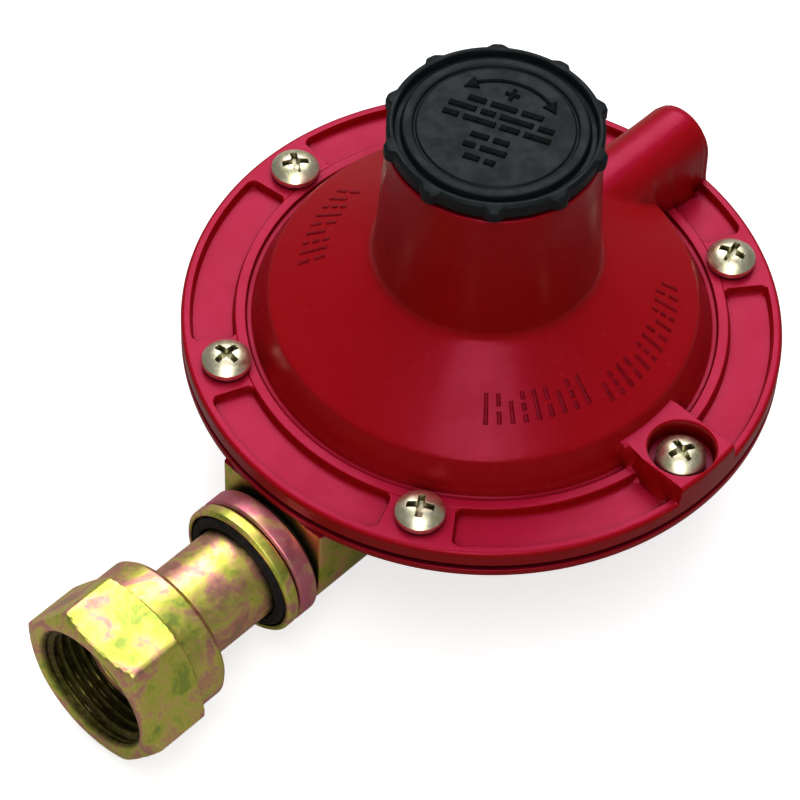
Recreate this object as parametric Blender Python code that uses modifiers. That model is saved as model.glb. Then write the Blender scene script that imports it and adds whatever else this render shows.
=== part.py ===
"""Carbon dioxide regulator: a low-pressure diaphragm regulator with a hexagon union nut inlet.

The frame: +Z up, origin at the centre of the flat underside of the lower body,
inlet along -X, breather spout and outlet along +X. Lengths in the constants are millimetres
and are turned into metres where a shape is made.
"""

import math

import bpy

MM = 0.001

# flange and covers
FLANGE_R = 50.0
FLANGE_TOP = 34.0
COVER_UNDERSIDE = 31.0
BODY_TOP = 29.8
FLANGE_BOTTOM = 28.2
CHAMBER_R = 38.0
POCKET_FLOOR = 32.6
POCKET_R_IN = 41.2
POCKET_R_OUT = 48.3
PAD_HALF_ANGLE = 7.5
SCREW_PCD_R = 43.8
SCREW_ANGLES = (30, 90, 150, 210, 270, 330)
SUNK_SCREW = 270
BOSS_TOP = 37.4
BOSS_HALF_WIDTH = 6.4
COUNTERBORE_R = 5.4
GAP = 0.3

# spring tower
TOWER_R_LOW = 18.7
TOWER_R_TOP = 17.2
TOWER_BORE_R = 14.0
TOWER_TOP = 76.0
CAP_R = 17.3
CAP_TOP = 79.7
CAP_LOBES = 10

# breather spout
SPOUT_Z = 40.0
SPOUT_R = 6.2
SPOUT_END = 50.3

# inlet line
INLET_Z = 16.0
NUT_AF = 27.1
NUT_TILT = 7.4
INLET_FACE = 49.3
STEM_R = 8.4

# valve linkage
PIVOT_X = 13.0
PIVOT_Z = 22.5
DIAPHRAGM_TRAVEL = 2.4


def clear_scene():
    for obj in list(bpy.data.objects):
        bpy.data.objects.remove(obj, do_unlink=True)
    for mesh in list(bpy.data.meshes):
        bpy.data.meshes.remove(mesh)


clear_scene()
PARTS = bpy.data.collections.new("carbon_dioxide_regulator")
CUTTERS = bpy.data.collections.new("cutters")
bpy.context.scene.collection.children.link(PARTS)
bpy.context.scene.collection.children.link(CUTTERS)
CUTTERS.hide_render = True

FINISHES = {
    "red_enamel": ((0.46, 0.012, 0.020), 0.28, 0.0),
    "black_plastic": ((0.035, 0.042, 0.046), 0.55, 0.0),
    "black_rubber": ((0.015, 0.015, 0.015), 0.75, 0.0),
    "zinc_yellow": ((0.62, 0.52, 0.17), 0.30, 1.0),
    "screw_zinc": ((0.72, 0.68, 0.52), 0.30, 1.0),
    "steel": ((0.55, 0.56, 0.58), 0.35, 1.0),
    "brass": ((0.75, 0.56, 0.24), 0.30, 1.0),
    "aluminium": ((0.75, 0.76, 0.78), 0.35, 1.0),
    "white_nylon": ((0.82, 0.82, 0.78), 0.50, 0.0),
    "bronze_sinter": ((0.42, 0.26, 0.12), 0.70, 1.0),
}


def material(name):
    found = bpy.data.materials.get(name)
    if found:
        return found
    colour, rough, metal = FINISHES[name]
    mat = bpy.data.materials.new(name)
    mat.use_nodes = True
    bsdf = mat.node_tree.nodes["Principled BSDF"]
    bsdf.inputs["Base Color"].default_value = (*colour, 1.0)
    bsdf.inputs["Roughness"].default_value = rough
    bsdf.inputs["Metallic"].default_value = metal
    mat.diffuse_color = (*colour, 1.0)
    return mat


def place(obj, finish=None):
    """Puts an object among the parts, or among the cutters when it has no finish."""
    for coll in list(obj.users_collection):
        coll.objects.unlink(obj)
    if finish:
        PARTS.objects.link(obj)
        obj.data.materials.clear()
        obj.data.materials.append(material(finish))
    else:
        CUTTERS.objects.link(obj)
        obj.hide_render = True
        obj.display_type = "WIRE"
    return obj


def round_shade(obj, degrees=35):
    obj.data.shade_smooth()
    obj.data.set_sharp_from_angle(angle=math.radians(degrees))
    return obj


def towards(obj, axis, at=(0, 0, 0)):
    """Turns an object made along +Z so that it runs along the named axis, from the given point."""
    turn = {"+Z": (0, 0, 0), "-X": (0, -math.pi / 2, 0), "+X": (0, math.pi / 2, 0), "+Y": (-math.pi / 2, 0, 0)}
    obj.rotation_euler = turn[axis]
    obj.location = [c * MM for c in at]
    return obj


def lathe(name, profile, finish=None, axis="+Z", at=(0, 0, 0), steps=48, ring=False):
    """A turned piece. The profile is (radius, height) points: down the outside, and back up the inside for a ring."""
    mesh = bpy.data.meshes.new(name)
    verts = [(r * MM, 0.0, z * MM) for r, z in profile]
    edges = [(i, i + 1) for i in range(len(verts) - 1)]
    if ring:
        edges.append((len(verts) - 1, 0))
    mesh.from_pydata(verts, edges, [])
    obj = bpy.data.objects.new(name, mesh)
    screw = obj.modifiers.new("turn", "SCREW")
    screw.axis = "Z"
    screw.angle = 2 * math.pi
    screw.steps = steps
    screw.render_steps = steps
    screw.use_merge_vertices = True
    screw.merge_threshold = 0.00001
    screw.use_smooth_shade = True
    towards(obj, axis, at)
    return place(obj, finish)


def rod(name, radius, z0, z1, finish=None, axis="+Z", at=(0, 0, 0), sides=32, turn=0.0):
    """A cylinder, or a prism with few sides, from z0 to z1 along its axis."""
    bpy.ops.mesh.primitive_cylinder_add(vertices=sides, radius=radius * MM, depth=(z1 - z0) * MM)
    obj = bpy.context.object
    obj.name = name
    obj.data.name = name
    for v in obj.data.vertices:
        x, y = v.co.x, v.co.y
        v.co.x = x * math.cos(turn) - y * math.sin(turn)
        v.co.y = x * math.sin(turn) + y * math.cos(turn)
        v.co.z += (z0 + z1) / 2 * MM
    towards(obj, axis, at)
    return place(obj, finish)


def box(name, lo, hi, finish=None):
    bpy.ops.mesh.primitive_cube_add(size=1)
    obj = bpy.context.object
    obj.name = name
    obj.data.name = name
    for v in obj.data.vertices:
        for i in range(3):
            v.co[i] *= (hi[i] - lo[i]) * MM
    obj.location = [(a + b) / 2 * MM for a, b in zip(lo, hi)]
    return place(obj, finish)


def plate(name, outline, z0, z1, finish=None):
    """A flat outline made solid between two heights, through a filled 2D curve."""
    curve = bpy.data.curves.new(name, "CURVE")
    curve.dimensions = "2D"
    curve.fill_mode = "BOTH"
    curve.extrude = (z1 - z0) / 2 * MM
    spline = curve.splines.new("POLY")
    spline.points.add(len(outline) - 1)
    for point, (x, y) in zip(spline.points, outline):
        point.co = (x * MM, y * MM, 0.0, 1.0)
    spline.use_cyclic_u = True
    return curve_to_mesh(name, curve, (0, 0, (z0 + z1) / 2), finish)


def curve_to_mesh(name, curve, at, finish):
    import bmesh

    guide = bpy.data.objects.new(name + "_guide", curve)
    bpy.context.scene.collection.objects.link(guide)
    guide.location = [c * MM for c in at]
    bpy.context.view_layer.update()
    graph = bpy.context.evaluated_depsgraph_get()
    mesh = bpy.data.meshes.new_from_object(guide.evaluated_get(graph))
    mesh.name = name
    bm = bmesh.new()
    bm.from_mesh(mesh)
    bmesh.ops.remove_doubles(bm, verts=bm.verts, dist=1e-6)
    bmesh.ops.recalc_face_normals(bm, faces=bm.faces)
    bm.to_mesh(mesh)
    bm.free()
    obj = bpy.data.objects.new(name, mesh)
    obj.matrix_world = guide.matrix_world.copy()
    bpy.data.objects.remove(guide, do_unlink=True)
    return place(obj, finish)


def sector(name, r0, r1, a0, a1, z0, z1, step=5.0):
    """A cutter shaped as part of a flat ring, between two radii and two angles."""
    n = max(2, round((a1 - a0) / step))
    angles = [math.radians(a0 + (a1 - a0) * i / n) for i in range(n + 1)]
    outline = [(r1 * math.cos(a), r1 * math.sin(a)) for a in angles]
    outline += [(r0 * math.cos(a), r0 * math.sin(a)) for a in reversed(angles)]
    return plate(name, outline, z0, z1)


def boolean(obj, other, operation):
    mod = obj.modifiers.new(operation.lower() + "_" + other.name, "BOOLEAN")
    mod.operation = operation
    mod.solver = "EXACT"
    mod.object = other
    return obj


def cut(obj, *others):
    for other in others:
        boolean(obj, other, "DIFFERENCE")
    return obj


def join(obj, *others):
    for other in others:
        boolean(obj, other, "UNION")
    return obj


def intersect(obj, other):
    return boolean(obj, other, "INTERSECT")


def polar(r, degrees):
    a = math.radians(degrees)
    return r * math.cos(a), r * math.sin(a)


# ---------------------------------------------------------------- upper cover
cover_profile = [
    (TOWER_R_TOP - 0.5, TOWER_TOP),
    (TOWER_R_TOP, TOWER_TOP - 0.6),
    (TOWER_R_LOW - 0.2, 51.6),
    (19.8, 48.6),
    (22.0, 47.2),
    (35.4, 39.3),
    (36.7, 37.8),
    (38.2, FLANGE_TOP),
    (49.3, FLANGE_TOP),
    (FLANGE_R, FLANGE_TOP - 0.8),
    (FLANGE_R, COVER_UNDERSIDE),
    (CHAMBER_R, COVER_UNDERSIDE),
    (33.8, 37.4),
    (17.4, 47.2),
    (TOWER_BORE_R, 52.5),
    (TOWER_BORE_R, TOWER_TOP),
]
upper_cover = lathe("upper_cover", cover_profile, "red_enamel", steps=48, ring=True)
for n, a in enumerate(SCREW_ANGLES):
    start = a + PAD_HALF_ANGLE
    cut(upper_cover, sector(f"pocket_cutter_{n + 1}", POCKET_R_IN, POCKET_R_OUT, start, start + 60 - 2 * PAD_HALF_ANGLE, POCKET_FLOOR, 36.0))

spout = lathe("spout_blank", [(0, SPOUT_END), (SPOUT_R - 0.7, SPOUT_END), (SPOUT_R, SPOUT_END - 0.7), (SPOUT_R + 0.5, 24.0), (0, 24.0)], axis="+X", at=(0, 0, SPOUT_Z), steps=24)
spout_web = box("spout_web", (30.0, -4.2, 32.8), (49.4, 4.2, SPOUT_Z))
outside = lathe("spout_limit", [(0, 60), (70, 60), (70, 33), (36.5, 33), (36.5, 35.5), (34.4, 38.2), (19.0, 47.2), (0, 47.2)], steps=48)
join(spout, spout_web)
intersect(spout, outside)
x0, y0 = polar(SCREW_PCD_R, SUNK_SCREW)
boss = box("sunk_screw_boss", (x0 - BOSS_HALF_WIDTH, -49.0, 33.0), (x0 + BOSS_HALF_WIDTH, -34.0, BOSS_TOP))
boss_limit = rod("boss_limit", 49.6, 20, 60, sides=48)
boss_inner = lathe("boss_inner_limit", [(0, 37.0), (35.0, 37.0), (36.6, 32.0), (0, 32.0)], steps=48)
intersect(boss, boss_limit)
cut(boss, boss_inner)
join(upper_cover, spout, boss)
cut(upper_cover, rod("counterbore_cutter", COUNTERBORE_R, FLANGE_TOP - 0.15, 45, at=(x0, y0, 0), sides=32))
for n, a in enumerate(SCREW_ANGLES):
    x, y = polar(SCREW_PCD_R, a)
    cut(upper_cover, rod(f"cover_hole_cutter_{n + 1}", 2.35, 25, 40, at=(x, y, 0), sides=12))
spout_bore = lathe("spout_bore_cutter", [(0, 54.0), (4.3, 54.0), (4.3, 47.6), (3.4, 47.6), (3.4, 22.0), (0, 22.0)], axis="+X", at=(0, 0, SPOUT_Z), steps=20)
cut(upper_cover, spout_bore)

# ---------------------------------------------------------------- lower body
body_profile = [
    (49.4, BODY_TOP),
    (FLANGE_R, BODY_TOP - 0.3),
    (FLANGE_R, 28.8),
    (49.4, FLANGE_BOTTOM),
    (41.6, 28.0),
    (38.2, 21.0),
    (24.5, 1.4),
    (22.5, 0.0),
    (0, 0.0),
]
lower_body = lathe("lower_body", [(0, BODY_TOP)] + body_profile, "red_enamel", steps=48)
for n, a in enumerate(SCREW_ANGLES):
    x, y = polar(SCREW_PCD_R, a)
    join(lower_body, rod(f"screw_boss_{n + 1}", 4.2, 25.8, 29.0, at=(x, y, 0), sides=14))
join(lower_body, rod("inlet_boss", 11.2, 20.0, INLET_FACE, axis="-X", at=(0, 0, INLET_Z), sides=32))
join(lower_body, box("inlet_boss_sides", (-INLET_FACE, -10.8, INLET_Z), (-34.0, 10.8, 28.4)))
join(lower_body, rod("outlet_boss", 11.0, 20.0, 47.5, axis="+X", at=(0, 0, INLET_Z), sides=28))
chamber = lathe("chamber_cutter", [(0, 33.0), (CHAMBER_R, 33.0), (CHAMBER_R, 27.0), (34.8, 20.6), (22.0, 3.6), (0, 3.6)], steps=48)
cut(lower_body, chamber)
join(lower_body, rod("inlet_post", 7.6, 11.6, 33.0, axis="-X", at=(0, 0, INLET_Z), sides=32))
join(lower_body, rod("inlet_post_root", 9.7, 29.5, 38.0, axis="-X", at=(0, 0, INLET_Z), sides=36))
join(lower_body, box("post_rib", (-23.5, -2.0, 2.8), (-13.0, 2.0, 12.0)))
join(lower_body, box("guide_rib", (0.0, -6.0, 2.8), (5.0, 6.0, 20.8)))
cut(lower_body, rod("adapter_bore_cutter", 8.35, 32.6, 52.0, axis="-X", at=(0, 0, INLET_Z), sides=32))
cut(lower_body, rod("inlet_bore_cutter", 4.6, 16.5, 33.0, axis="-X", at=(0, 0, INLET_Z), sides=24))
cut(lower_body, rod("nozzle_bore_cutter", 3.75, 10.0, 17.0, axis="-X", at=(0, 0, INLET_Z), sides=24))
cut(lower_body, rod("guide_bore_cutter", 3.35, -2.0, 7.0, axis="+X", at=(0, 0, INLET_Z), sides=24))
cut(lower_body, rod("outlet_bore_cutter", 7.2, 26.0, 49.0, axis="+X", at=(0, 0, INLET_Z), sides=28))
for n, a in enumerate(SCREW_ANGLES):
    x, y = polar(SCREW_PCD_R, a)
    cut(lower_body, rod(f"body_hole_cutter_{n + 1}", 2.35, 24, 32, at=(x, y, 0), sides=12))
for n, y in enumerate((-8.2, 8.2)):
    cut(lower_body, rod(f"bracket_hole_cutter_{n + 1}", 1.3, 1.4, 5.0, at=(16.6, y, 0), sides=12))

# ---------------------------------------------------------------- diaphragm stack
DIA_Z = 28.2
diaphragm = lathe(
    "diaphragm",
    [
        (49.3, 30.7), (49.3, 30.1), (37.2, 30.1), (34.9, 27.3), (31.4, 26.2), (28.0, 27.4), (26.2, DIA_Z), (3.4, DIA_Z),
        (3.4, DIA_Z + 0.6), (26.6, DIA_Z + 0.6), (28.6, 27.9), (31.4, 26.8), (34.4, 27.9), (36.8, 30.7),
    ],
    "black_rubber", steps=32, ring=True,
)
for n, a in enumerate(SCREW_ANGLES):
    x, y = polar(SCREW_PCD_R, a)
    cut(diaphragm, rod(f"diaphragm_hole_cutter_{n + 1}", 2.35, 28, 33, at=(x, y, 0), sides=12))
lathe("diaphragm_plate_top", [(24.2, 31.0), (25.0, 31.0), (25.0, 29.9), (24.0, 29.1), (3.4, 29.1), (3.4, 30.1), (23.4, 30.1)], "aluminium", steps=28, ring=True)
lathe("diaphragm_plate_bottom", [(22.4, 27.9), (23.0, 27.4), (23.0, 26.9), (3.4, 26.9), (3.4, 27.9)], "aluminium", steps=28, ring=True)

stem = lathe("diaphragm_stem", [(0, 33.6), (2.6, 33.6), (3.0, 33.2), (3.0, 26.6), (5.6, 26.6), (5.6, 25.6), (0, 25.6)], "brass", steps=18)
join(stem, box("hook_block", (-2.6, -3.6, 21.3), (2.6, 3.6, 26.2)))
cut(stem, box("hook_window", (-5.0, -2.1, 22.8), (5.0, 2.1, 25.2)))
stem_nut = rod("stem_nut", 5.2, 30.4, 32.9, "steel", sides=6)
cut(stem_nut, rod("stem_nut_bore", 3.35, 28, 36, sides=20))

# ---------------------------------------------------------------- main spring and adjuster
SPRING_LOW, SPRING_HIGH, SPRING_R, WIRE_R, TURNS = 31.4, 60.0, 10.2, 1.0, 5
curve = bpy.data.curves.new("main_spring", "CURVE")
curve.dimensions = "3D"
curve.bevel_depth = WIRE_R * MM
curve.bevel_resolution = 2
curve.use_fill_caps = True
PER_TURN = 12
count = TURNS * PER_TURN + 1
spline = curve.splines.new("POLY")
spline.points.add(count - 1)
for i in range(count):
    t = i / (count - 1) * TURNS
    # the end coils lie closer together than the working coils
    ease = min(t, 1.0) ** 2 * 0.5 + max(t - 1.0, 0.0)
    ease_end = max(t - (TURNS - 1.0), 0.0)
    ease -= ease_end**2 * 0.5
    height = SPRING_LOW + WIRE_R + (SPRING_HIGH - SPRING_LOW - 2 * WIRE_R) * (0.06 * t / TURNS + 0.94 * ease / (TURNS - 1.0))
    angle = 2 * math.pi * t
    spline.points[i].co = (SPRING_R * math.cos(angle) * MM, SPRING_R * math.sin(angle) * MM, height * MM, 1.0)
main_spring = round_shade(curve_to_mesh("main_spring", curve, (0, 0, 0), "steel"), 60)

lathe("spring_seat_top", [(2.6, 62.4), (5.0, 62.4), (5.0, 61.9), (12.8, 61.9), (12.8, 60.3), (8.2, 60.3), (8.2, 58.6), (7.0, 58.6), (2.6, 60.6)], "steel", steps=24, ring=True)
adjuster = lathe("adjusting_screw", [(0, 68.4), (12.9, 68.4), (13.6, 67.7), (13.6, 62.9), (12.9, 62.2), (5.6, 62.2), (5.3, 62.8), (0, 62.8)], "brass", steps=28)
cut(adjuster, rod("adjuster_socket", 6.6, 64.4, 72.0, sides=6))

# ---------------------------------------------------------------- cap
cap = lathe(
    "tower_cap",
    [
        (0, 79.4), (14.8, 79.4), (15.0, 78.2), (16.0, 78.2), (16.2, CAP_TOP), (16.9, CAP_TOP), (CAP_R, 79.3), (CAP_R, 77.3), (17.1, 77.1),
        (13.6, 77.1), (13.6, 72.6), (13.1, 72.0), (11.2, 72.0), (11.2, 77.3), (0, 77.3),
    ],
    "black_plastic", steps=40,
)
for i in range(CAP_LOBES):
    x, y = polar(16.7, 36 * i + 6.0)
    join(cap, rod(f"cap_lobe_{i + 1}", 1.7, 77.3, 79.4, at=(x, y, 0), sides=8))
lathe("cap_seal", [(16.6, 76.8), (16.6, 76.3), (14.4, 76.3), (14.4, 76.8)], "black_rubber", steps=28, ring=True)

# ---------------------------------------------------------------- valve linkage
bracket = box("lever_bracket", (7.4, -10.4, 3.9), (19.0, 10.4, 4.9), "steel")
for side in (-1, 1):
    lo, hi = sorted((side * 4.4, side * 5.5))
    join(bracket, box(f"bracket_cheek_{side + 2}", (9.6, lo, 4.4), (16.4, hi, 25.2)))
cut(bracket, rod("bracket_pin_hole", 1.35, -12, 12, axis="+Y", at=(PIVOT_X, 0, PIVOT_Z), sides=16))
for n, y in enumerate((-8.2, 8.2)):
    cut(bracket, rod(f"bracket_foot_hole_{n + 1}", 1.5, 3, 6, at=(16.6, y, 0), sides=12))
    lathe(f"bracket_screw_{n + 1}", [(0, 6.6), (1.4, 6.6), (2.1, 6.1), (2.1, 5.2), (1.0, 5.2), (1.0, 1.8), (0, 1.8)], "steel", at=(16.6, y, 0), steps=12)

lever = rod("valve_lever", 2.4, -4.0, 4.0, "steel", axis="+Y", at=(PIVOT_X, 0, PIVOT_Z), sides=24)
join(lever, box("lever_long_arm", (-2.4, -1.7, 23.6), (13.0, 1.7, 24.5)))
join(lever, box("lever_short_arm", (12.2, -1.2, 15.0), (13.8, 1.2, 22.0)))
cut(lever, rod("lever_pin_hole", 1.35, -12, 12, axis="+Y", at=(PIVOT_X, 0, PIVOT_Z), sides=16))
rod("lever_pin", 1.0, -6.6, 6.6, "steel", axis="+Y", at=(PIVOT_X, 0, PIVOT_Z), sides=16)

plunger = lathe("valve_plunger", [(0, 17.4), (2.5, 17.4), (3.0, 16.9), (3.0, -1.5), (4.2, -1.8), (4.2, -5.4), (3.2, -5.4), (3.2, -4.0), (0, -4.0)], "brass", axis="+X", at=(0, 0, INLET_Z), steps=20)
cut(plunger, box("plunger_slot", (11.3, -1.7, 14.3), (14.7, 1.7, 21.0)))
rod("valve_pad", 2.85, -5.8, -4.3, "black_rubber", axis="+X", at=(0, 0, INLET_Z), sides=20)
lathe("inlet_nozzle", [(1.9, -7.3), (2.3, -8.0), (4.6, -8.9), (4.6, -11.2), (3.4, -11.2), (3.4, -16.0), (1.2, -16.0), (1.2, -7.3)], "brass", axis="+X", at=(0, 0, INLET_Z), steps=16, ring=True)

# ---------------------------------------------------------------- inlet line
lathe("adapter_gasket", [(10.4, 50.0), (10.4, 49.5), (8.35, 49.5), (8.35, 50.0)], "black_rubber", axis="-X", at=(0, 0, INLET_Z), steps=28, ring=True)
lathe("inlet_adapter", [(11.4, 54.3), (11.9, 53.9), (11.9, 50.2), (8.0, 50.2), (8.0, 33.2), (3.6, 33.2), (3.6, 44.0), (7.2, 44.0), (7.2, 54.3)], "zinc_yellow", axis="-X", at=(0, 0, INLET_Z), steps=36, ring=True)
lathe("gland_ring", [(11.3, 57.0), (11.9, 56.5), (11.9, 54.6), (8.75, 54.6), (8.75, 55.6), (10.9, 55.6), (10.9, 57.0)], "zinc_yellow", axis="-X", at=(0, 0, INLET_Z), steps=36, ring=True)
lathe("stem_seal_ring", [(9.6, 57.5), (10.55, 57.0), (10.55, 55.9), (8.75, 55.9), (8.75, 57.5)], "black_rubber", axis="-X", at=(0, 0, INLET_Z), steps=36, ring=True)
lathe(
    "inlet_tailpiece",
    [
        (5.7, 84.2), (6.2, 83.7), (6.2, 80.2), (9.9, 80.2), (9.9, 76.4), (9.5, 75.9), (STEM_R, 75.9), (STEM_R, 55.4), (6.8, 54.9), (6.8, 44.6),
        (3.4, 44.6), (3.4, 78.6), (4.2, 78.6), (4.2, 84.2),
    ],
    "zinc_yellow", axis="-X", at=(0, 0, INLET_Z), steps=32, ring=True,
)
lathe("inlet_filter", [(0, 83.4), (3.6, 83.4), (3.85, 83.1), (3.85, 79.0), (0, 79.0)], "bronze_sinter", axis="-X", at=(0, 0, INLET_Z), steps=20)
lathe("nose_washer", [(9.6, 82.5), (9.6, 80.5), (6.55, 80.5), (6.55, 82.5)], "white_nylon", axis="-X", at=(0, 0, INLET_Z), steps=24, ring=True)

nut_hex = rod("union_nut_hexagon", NUT_AF / math.sqrt(3), 78.2, 90.2, axis="-X", at=(0, 0, INLET_Z), sides=6, turn=math.radians(-NUT_TILT))
nut_limit = lathe("union_nut_limit", [(0, 90.2), (13.5, 90.2), (15.8, 88.9), (15.8, 79.4), (14.0, 78.2), (0, 78.2)], axis="-X", at=(0, 0, INLET_Z), steps=36)
intersect(nut_hex, nut_limit)
cut(nut_hex, rod("union_nut_hexagon_bore", 12.0, 77, 92, axis="-X", at=(0, 0, INLET_Z), sides=40))
nut = lathe("union_nut", [(12.4, 90.0), (12.4, 78.4), (13.2, 78.4), (13.2, 72.9), (12.5, 72.2), (8.8, 72.2), (8.8, 75.4), (10.9, 75.4), (10.9, 89.2), (11.6, 90.0)], "zinc_yellow", axis="-X", at=(0, 0, INLET_Z), steps=40, ring=True)
join(nut, nut_hex)

# ---------------------------------------------------------------- breather
rod("vent_screen", 3.95, 47.95, 48.6, "steel", axis="+X", at=(0, 0, SPOUT_Z), sides=20)
lathe("vent_ring", [(3.2, 50.1), (3.95, 50.1), (3.95, 48.9), (3.2, 48.9)], "black_plastic", axis="+X", at=(0, 0, SPOUT_Z), steps=24, ring=True)

# ---------------------------------------------------------------- cover screws
for n, a in enumerate(SCREW_ANGLES):
    x, y = polar(SCREW_PCD_R, a)
    name = f"cover_screw_{n + 1}"
    z = FLANGE_TOP + GAP
    screw = lathe(name, [(0, z + 2.75), (1.6, z + 2.6), (2.9, z + 2.1), (3.8, z + 1.1), (4.05, z + 0.4), (4.05, z), (2.0, z), (2.0, 26.6), (0, 26.6)], "screw_zinc", at=(x, y, 0), steps=14)
    for k, turn in enumerate((20 + 35 * n, 110 + 35 * n)):
        bar = box(f"{name}_slot_{k + 1}", (-2.3, -0.42, -1.5), (2.3, 0.42, 1.5))
        bar.location = (x * MM, y * MM, (z + 2.9) * MM)
        bar.rotation_euler = (0, 0, math.radians(turn))
        cut(screw, bar)

bpy.context.view_layer.update()
for obj in PARTS.objects:
    if not any(m.type == "SCREW" for m in obj.modifiers):
        round_shade(obj, 30)
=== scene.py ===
import math
import random

import bmesh
import bpy
import numpy as np
from mathutils import Matrix, Vector


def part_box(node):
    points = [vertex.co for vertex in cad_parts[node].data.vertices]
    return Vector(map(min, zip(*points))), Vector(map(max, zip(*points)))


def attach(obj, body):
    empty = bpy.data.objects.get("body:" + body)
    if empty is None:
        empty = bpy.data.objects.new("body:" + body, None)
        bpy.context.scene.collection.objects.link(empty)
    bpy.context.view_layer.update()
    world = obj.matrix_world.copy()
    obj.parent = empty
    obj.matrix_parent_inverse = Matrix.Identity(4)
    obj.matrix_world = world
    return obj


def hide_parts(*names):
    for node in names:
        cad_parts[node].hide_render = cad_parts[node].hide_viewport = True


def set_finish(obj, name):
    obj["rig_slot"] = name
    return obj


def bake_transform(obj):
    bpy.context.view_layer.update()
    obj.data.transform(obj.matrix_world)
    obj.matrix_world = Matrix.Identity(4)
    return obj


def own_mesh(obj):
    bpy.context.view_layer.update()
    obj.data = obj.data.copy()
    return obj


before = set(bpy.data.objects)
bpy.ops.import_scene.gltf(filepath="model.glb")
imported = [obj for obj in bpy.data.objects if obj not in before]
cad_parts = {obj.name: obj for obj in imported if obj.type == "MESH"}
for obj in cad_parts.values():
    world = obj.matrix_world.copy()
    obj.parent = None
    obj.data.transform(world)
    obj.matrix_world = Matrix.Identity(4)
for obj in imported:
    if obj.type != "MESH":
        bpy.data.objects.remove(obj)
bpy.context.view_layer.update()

MM = 0.001
rng = np.random.default_rng(7)

# every size below is in millimetres, in the frame of the CAD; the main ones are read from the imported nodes
def node_box(name):
    lo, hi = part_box(name)
    return [c * 1000 for c in lo], [c * 1000 for c in hi]


COVER_LO, COVER_HI = node_box("upper_cover")
BODY_LO, BODY_HI = node_box("lower_body")
NUT_LO, NUT_HI = node_box("union_nut")
CAP_LO, CAP_HI = node_box("tower_cap")
FLANGE_R = COVER_HI[1]
TOP = 34.0
COVER_Z0 = COVER_LO[2]
BODY_Z1 = BODY_HI[2]
INLET_Z = 16.0
SPOUT_Z = 40.0
SPOUT_R = 6.2
PCD_R = 43.8
SCREW_ANGLES = (30, 90, 150, 210, 270, 330)
SUNK = 270


# ------------------------------------------------------------------ mesh helpers
def fillet_path(points, step=1.0, arc=12.0):
    """Points are (a, b, radius): a polyline with its corners rounded, sampled no coarser than step."""
    pts = [np.array(p[:2], float) for p in points]
    rad = [p[2] if len(p) > 2 else 0.0 for p in points]
    out = [pts[0]]
    for i in range(1, len(pts) - 1):
        a, b, c = pts[i - 1], pts[i], pts[i + 1]
        if rad[i] <= 0:
            out.append(b)
            continue
        u, v = a - b, c - b
        lu, lv = np.linalg.norm(u), np.linalg.norm(v)
        u, v = u / lu, v / lv
        ang = math.acos(max(-1, min(1, float(u @ v))))
        t = min(rad[i] / math.tan(ang / 2), 0.49 * lu, 0.49 * lv)
        r = t * math.tan(ang / 2)
        centre = b + (u + v) / np.linalg.norm(u + v) * (r / math.sin(ang / 2))
        p0, p1 = b + u * t, b + v * t
        a0 = math.atan2(*(p0 - centre)[::-1])
        a1 = math.atan2(*(p1 - centre)[::-1])
        d = (a1 - a0 + math.pi) % (2 * math.pi) - math.pi
        n = max(2, int(abs(math.degrees(d)) / arc) + 1)
        for k in range(n + 1):
            q = a0 + d * k / n
            out.append(centre + r * np.array([math.cos(q), math.sin(q)]))
    out.append(pts[-1])
    dense = [out[0]]
    for p in out[1:]:
        gap = np.linalg.norm(p - dense[-1])
        if gap < 1e-6:
            continue
        n = max(1, int(math.ceil(gap / step)))
        q = dense[-1]
        for k in range(1, n + 1):
            dense.append(q + (p - q) * k / n)
    return np.array(dense)


def smooth(x, lo, hi):
    t = np.clip((x - lo) / (hi - lo), 0, 1)
    return t * t * (3 - 2 * t)


def smax(a, b, k):
    h = np.clip(0.5 + 0.5 * (a - b) / k, 0, 1)
    return b + (a - b) * h + k * h * (1 - h)


def smin(a, b, k):
    return -smax(-a, -b, k)


def box_sdf(u, v, a, b, rho):
    qx, qy = np.abs(u) - a + rho, np.abs(v) - b + rho
    return np.hypot(np.maximum(qx, 0), np.maximum(qy, 0)) + np.minimum(np.maximum(qx, qy), 0) - rho


def mesh_object(name, verts, faces, sharp=None):
    mesh = bpy.data.meshes.new(name)
    mesh.from_pydata([tuple(v) for v in verts], [], faces)
    mesh.validate()
    obj = bpy.data.objects.new(name, mesh)
    bpy.context.scene.collection.objects.link(obj)
    outward(obj)
    mesh.shade_smooth()
    if sharp:
        mesh.set_sharp_from_angle(angle=math.radians(sharp))
    return obj


def outward(obj):
    bm = bmesh.new()
    bm.from_mesh(obj.data)
    if bm.calc_volume(signed=True) < 0:
        bmesh.ops.reverse_faces(bm, faces=bm.faces)
        bm.to_mesh(obj.data)
    bm.free()


def grid_solid(name, P, ring=True, axis="Z", at=(0, 0, 0), sharp=None):
    """P is rows x columns x 3 in mm, columns going round. A ring joins its last row to its first, a plug closes its two end rows with a point."""
    rows, cols, _ = P.shape
    verts = P.reshape(-1, 3)
    idx = np.arange(rows * cols).reshape(rows, cols)
    nxt = np.roll(idx, -1, axis=1)
    span = rows if ring else rows - 1
    faces = []
    for i in range(span):
        j = (i + 1) % rows
        faces += np.stack([idx[i], idx[j], nxt[j], nxt[i]], -1).tolist()
    if not ring:
        ends = np.array([verts[idx[0]].mean(0), verts[idx[-1]].mean(0)])
        a, b = rows * cols, rows * cols + 1
        verts = np.vstack([verts, ends])
        faces += [[a, int(idx[0, k]), int(nxt[0, k])] for k in range(cols)]
        faces += [[b, int(nxt[-1, k]), int(idx[-1, k])] for k in range(cols)]
    verts = turn_to(verts, axis, at) * MM
    return mesh_object(name, verts, faces, sharp)


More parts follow.
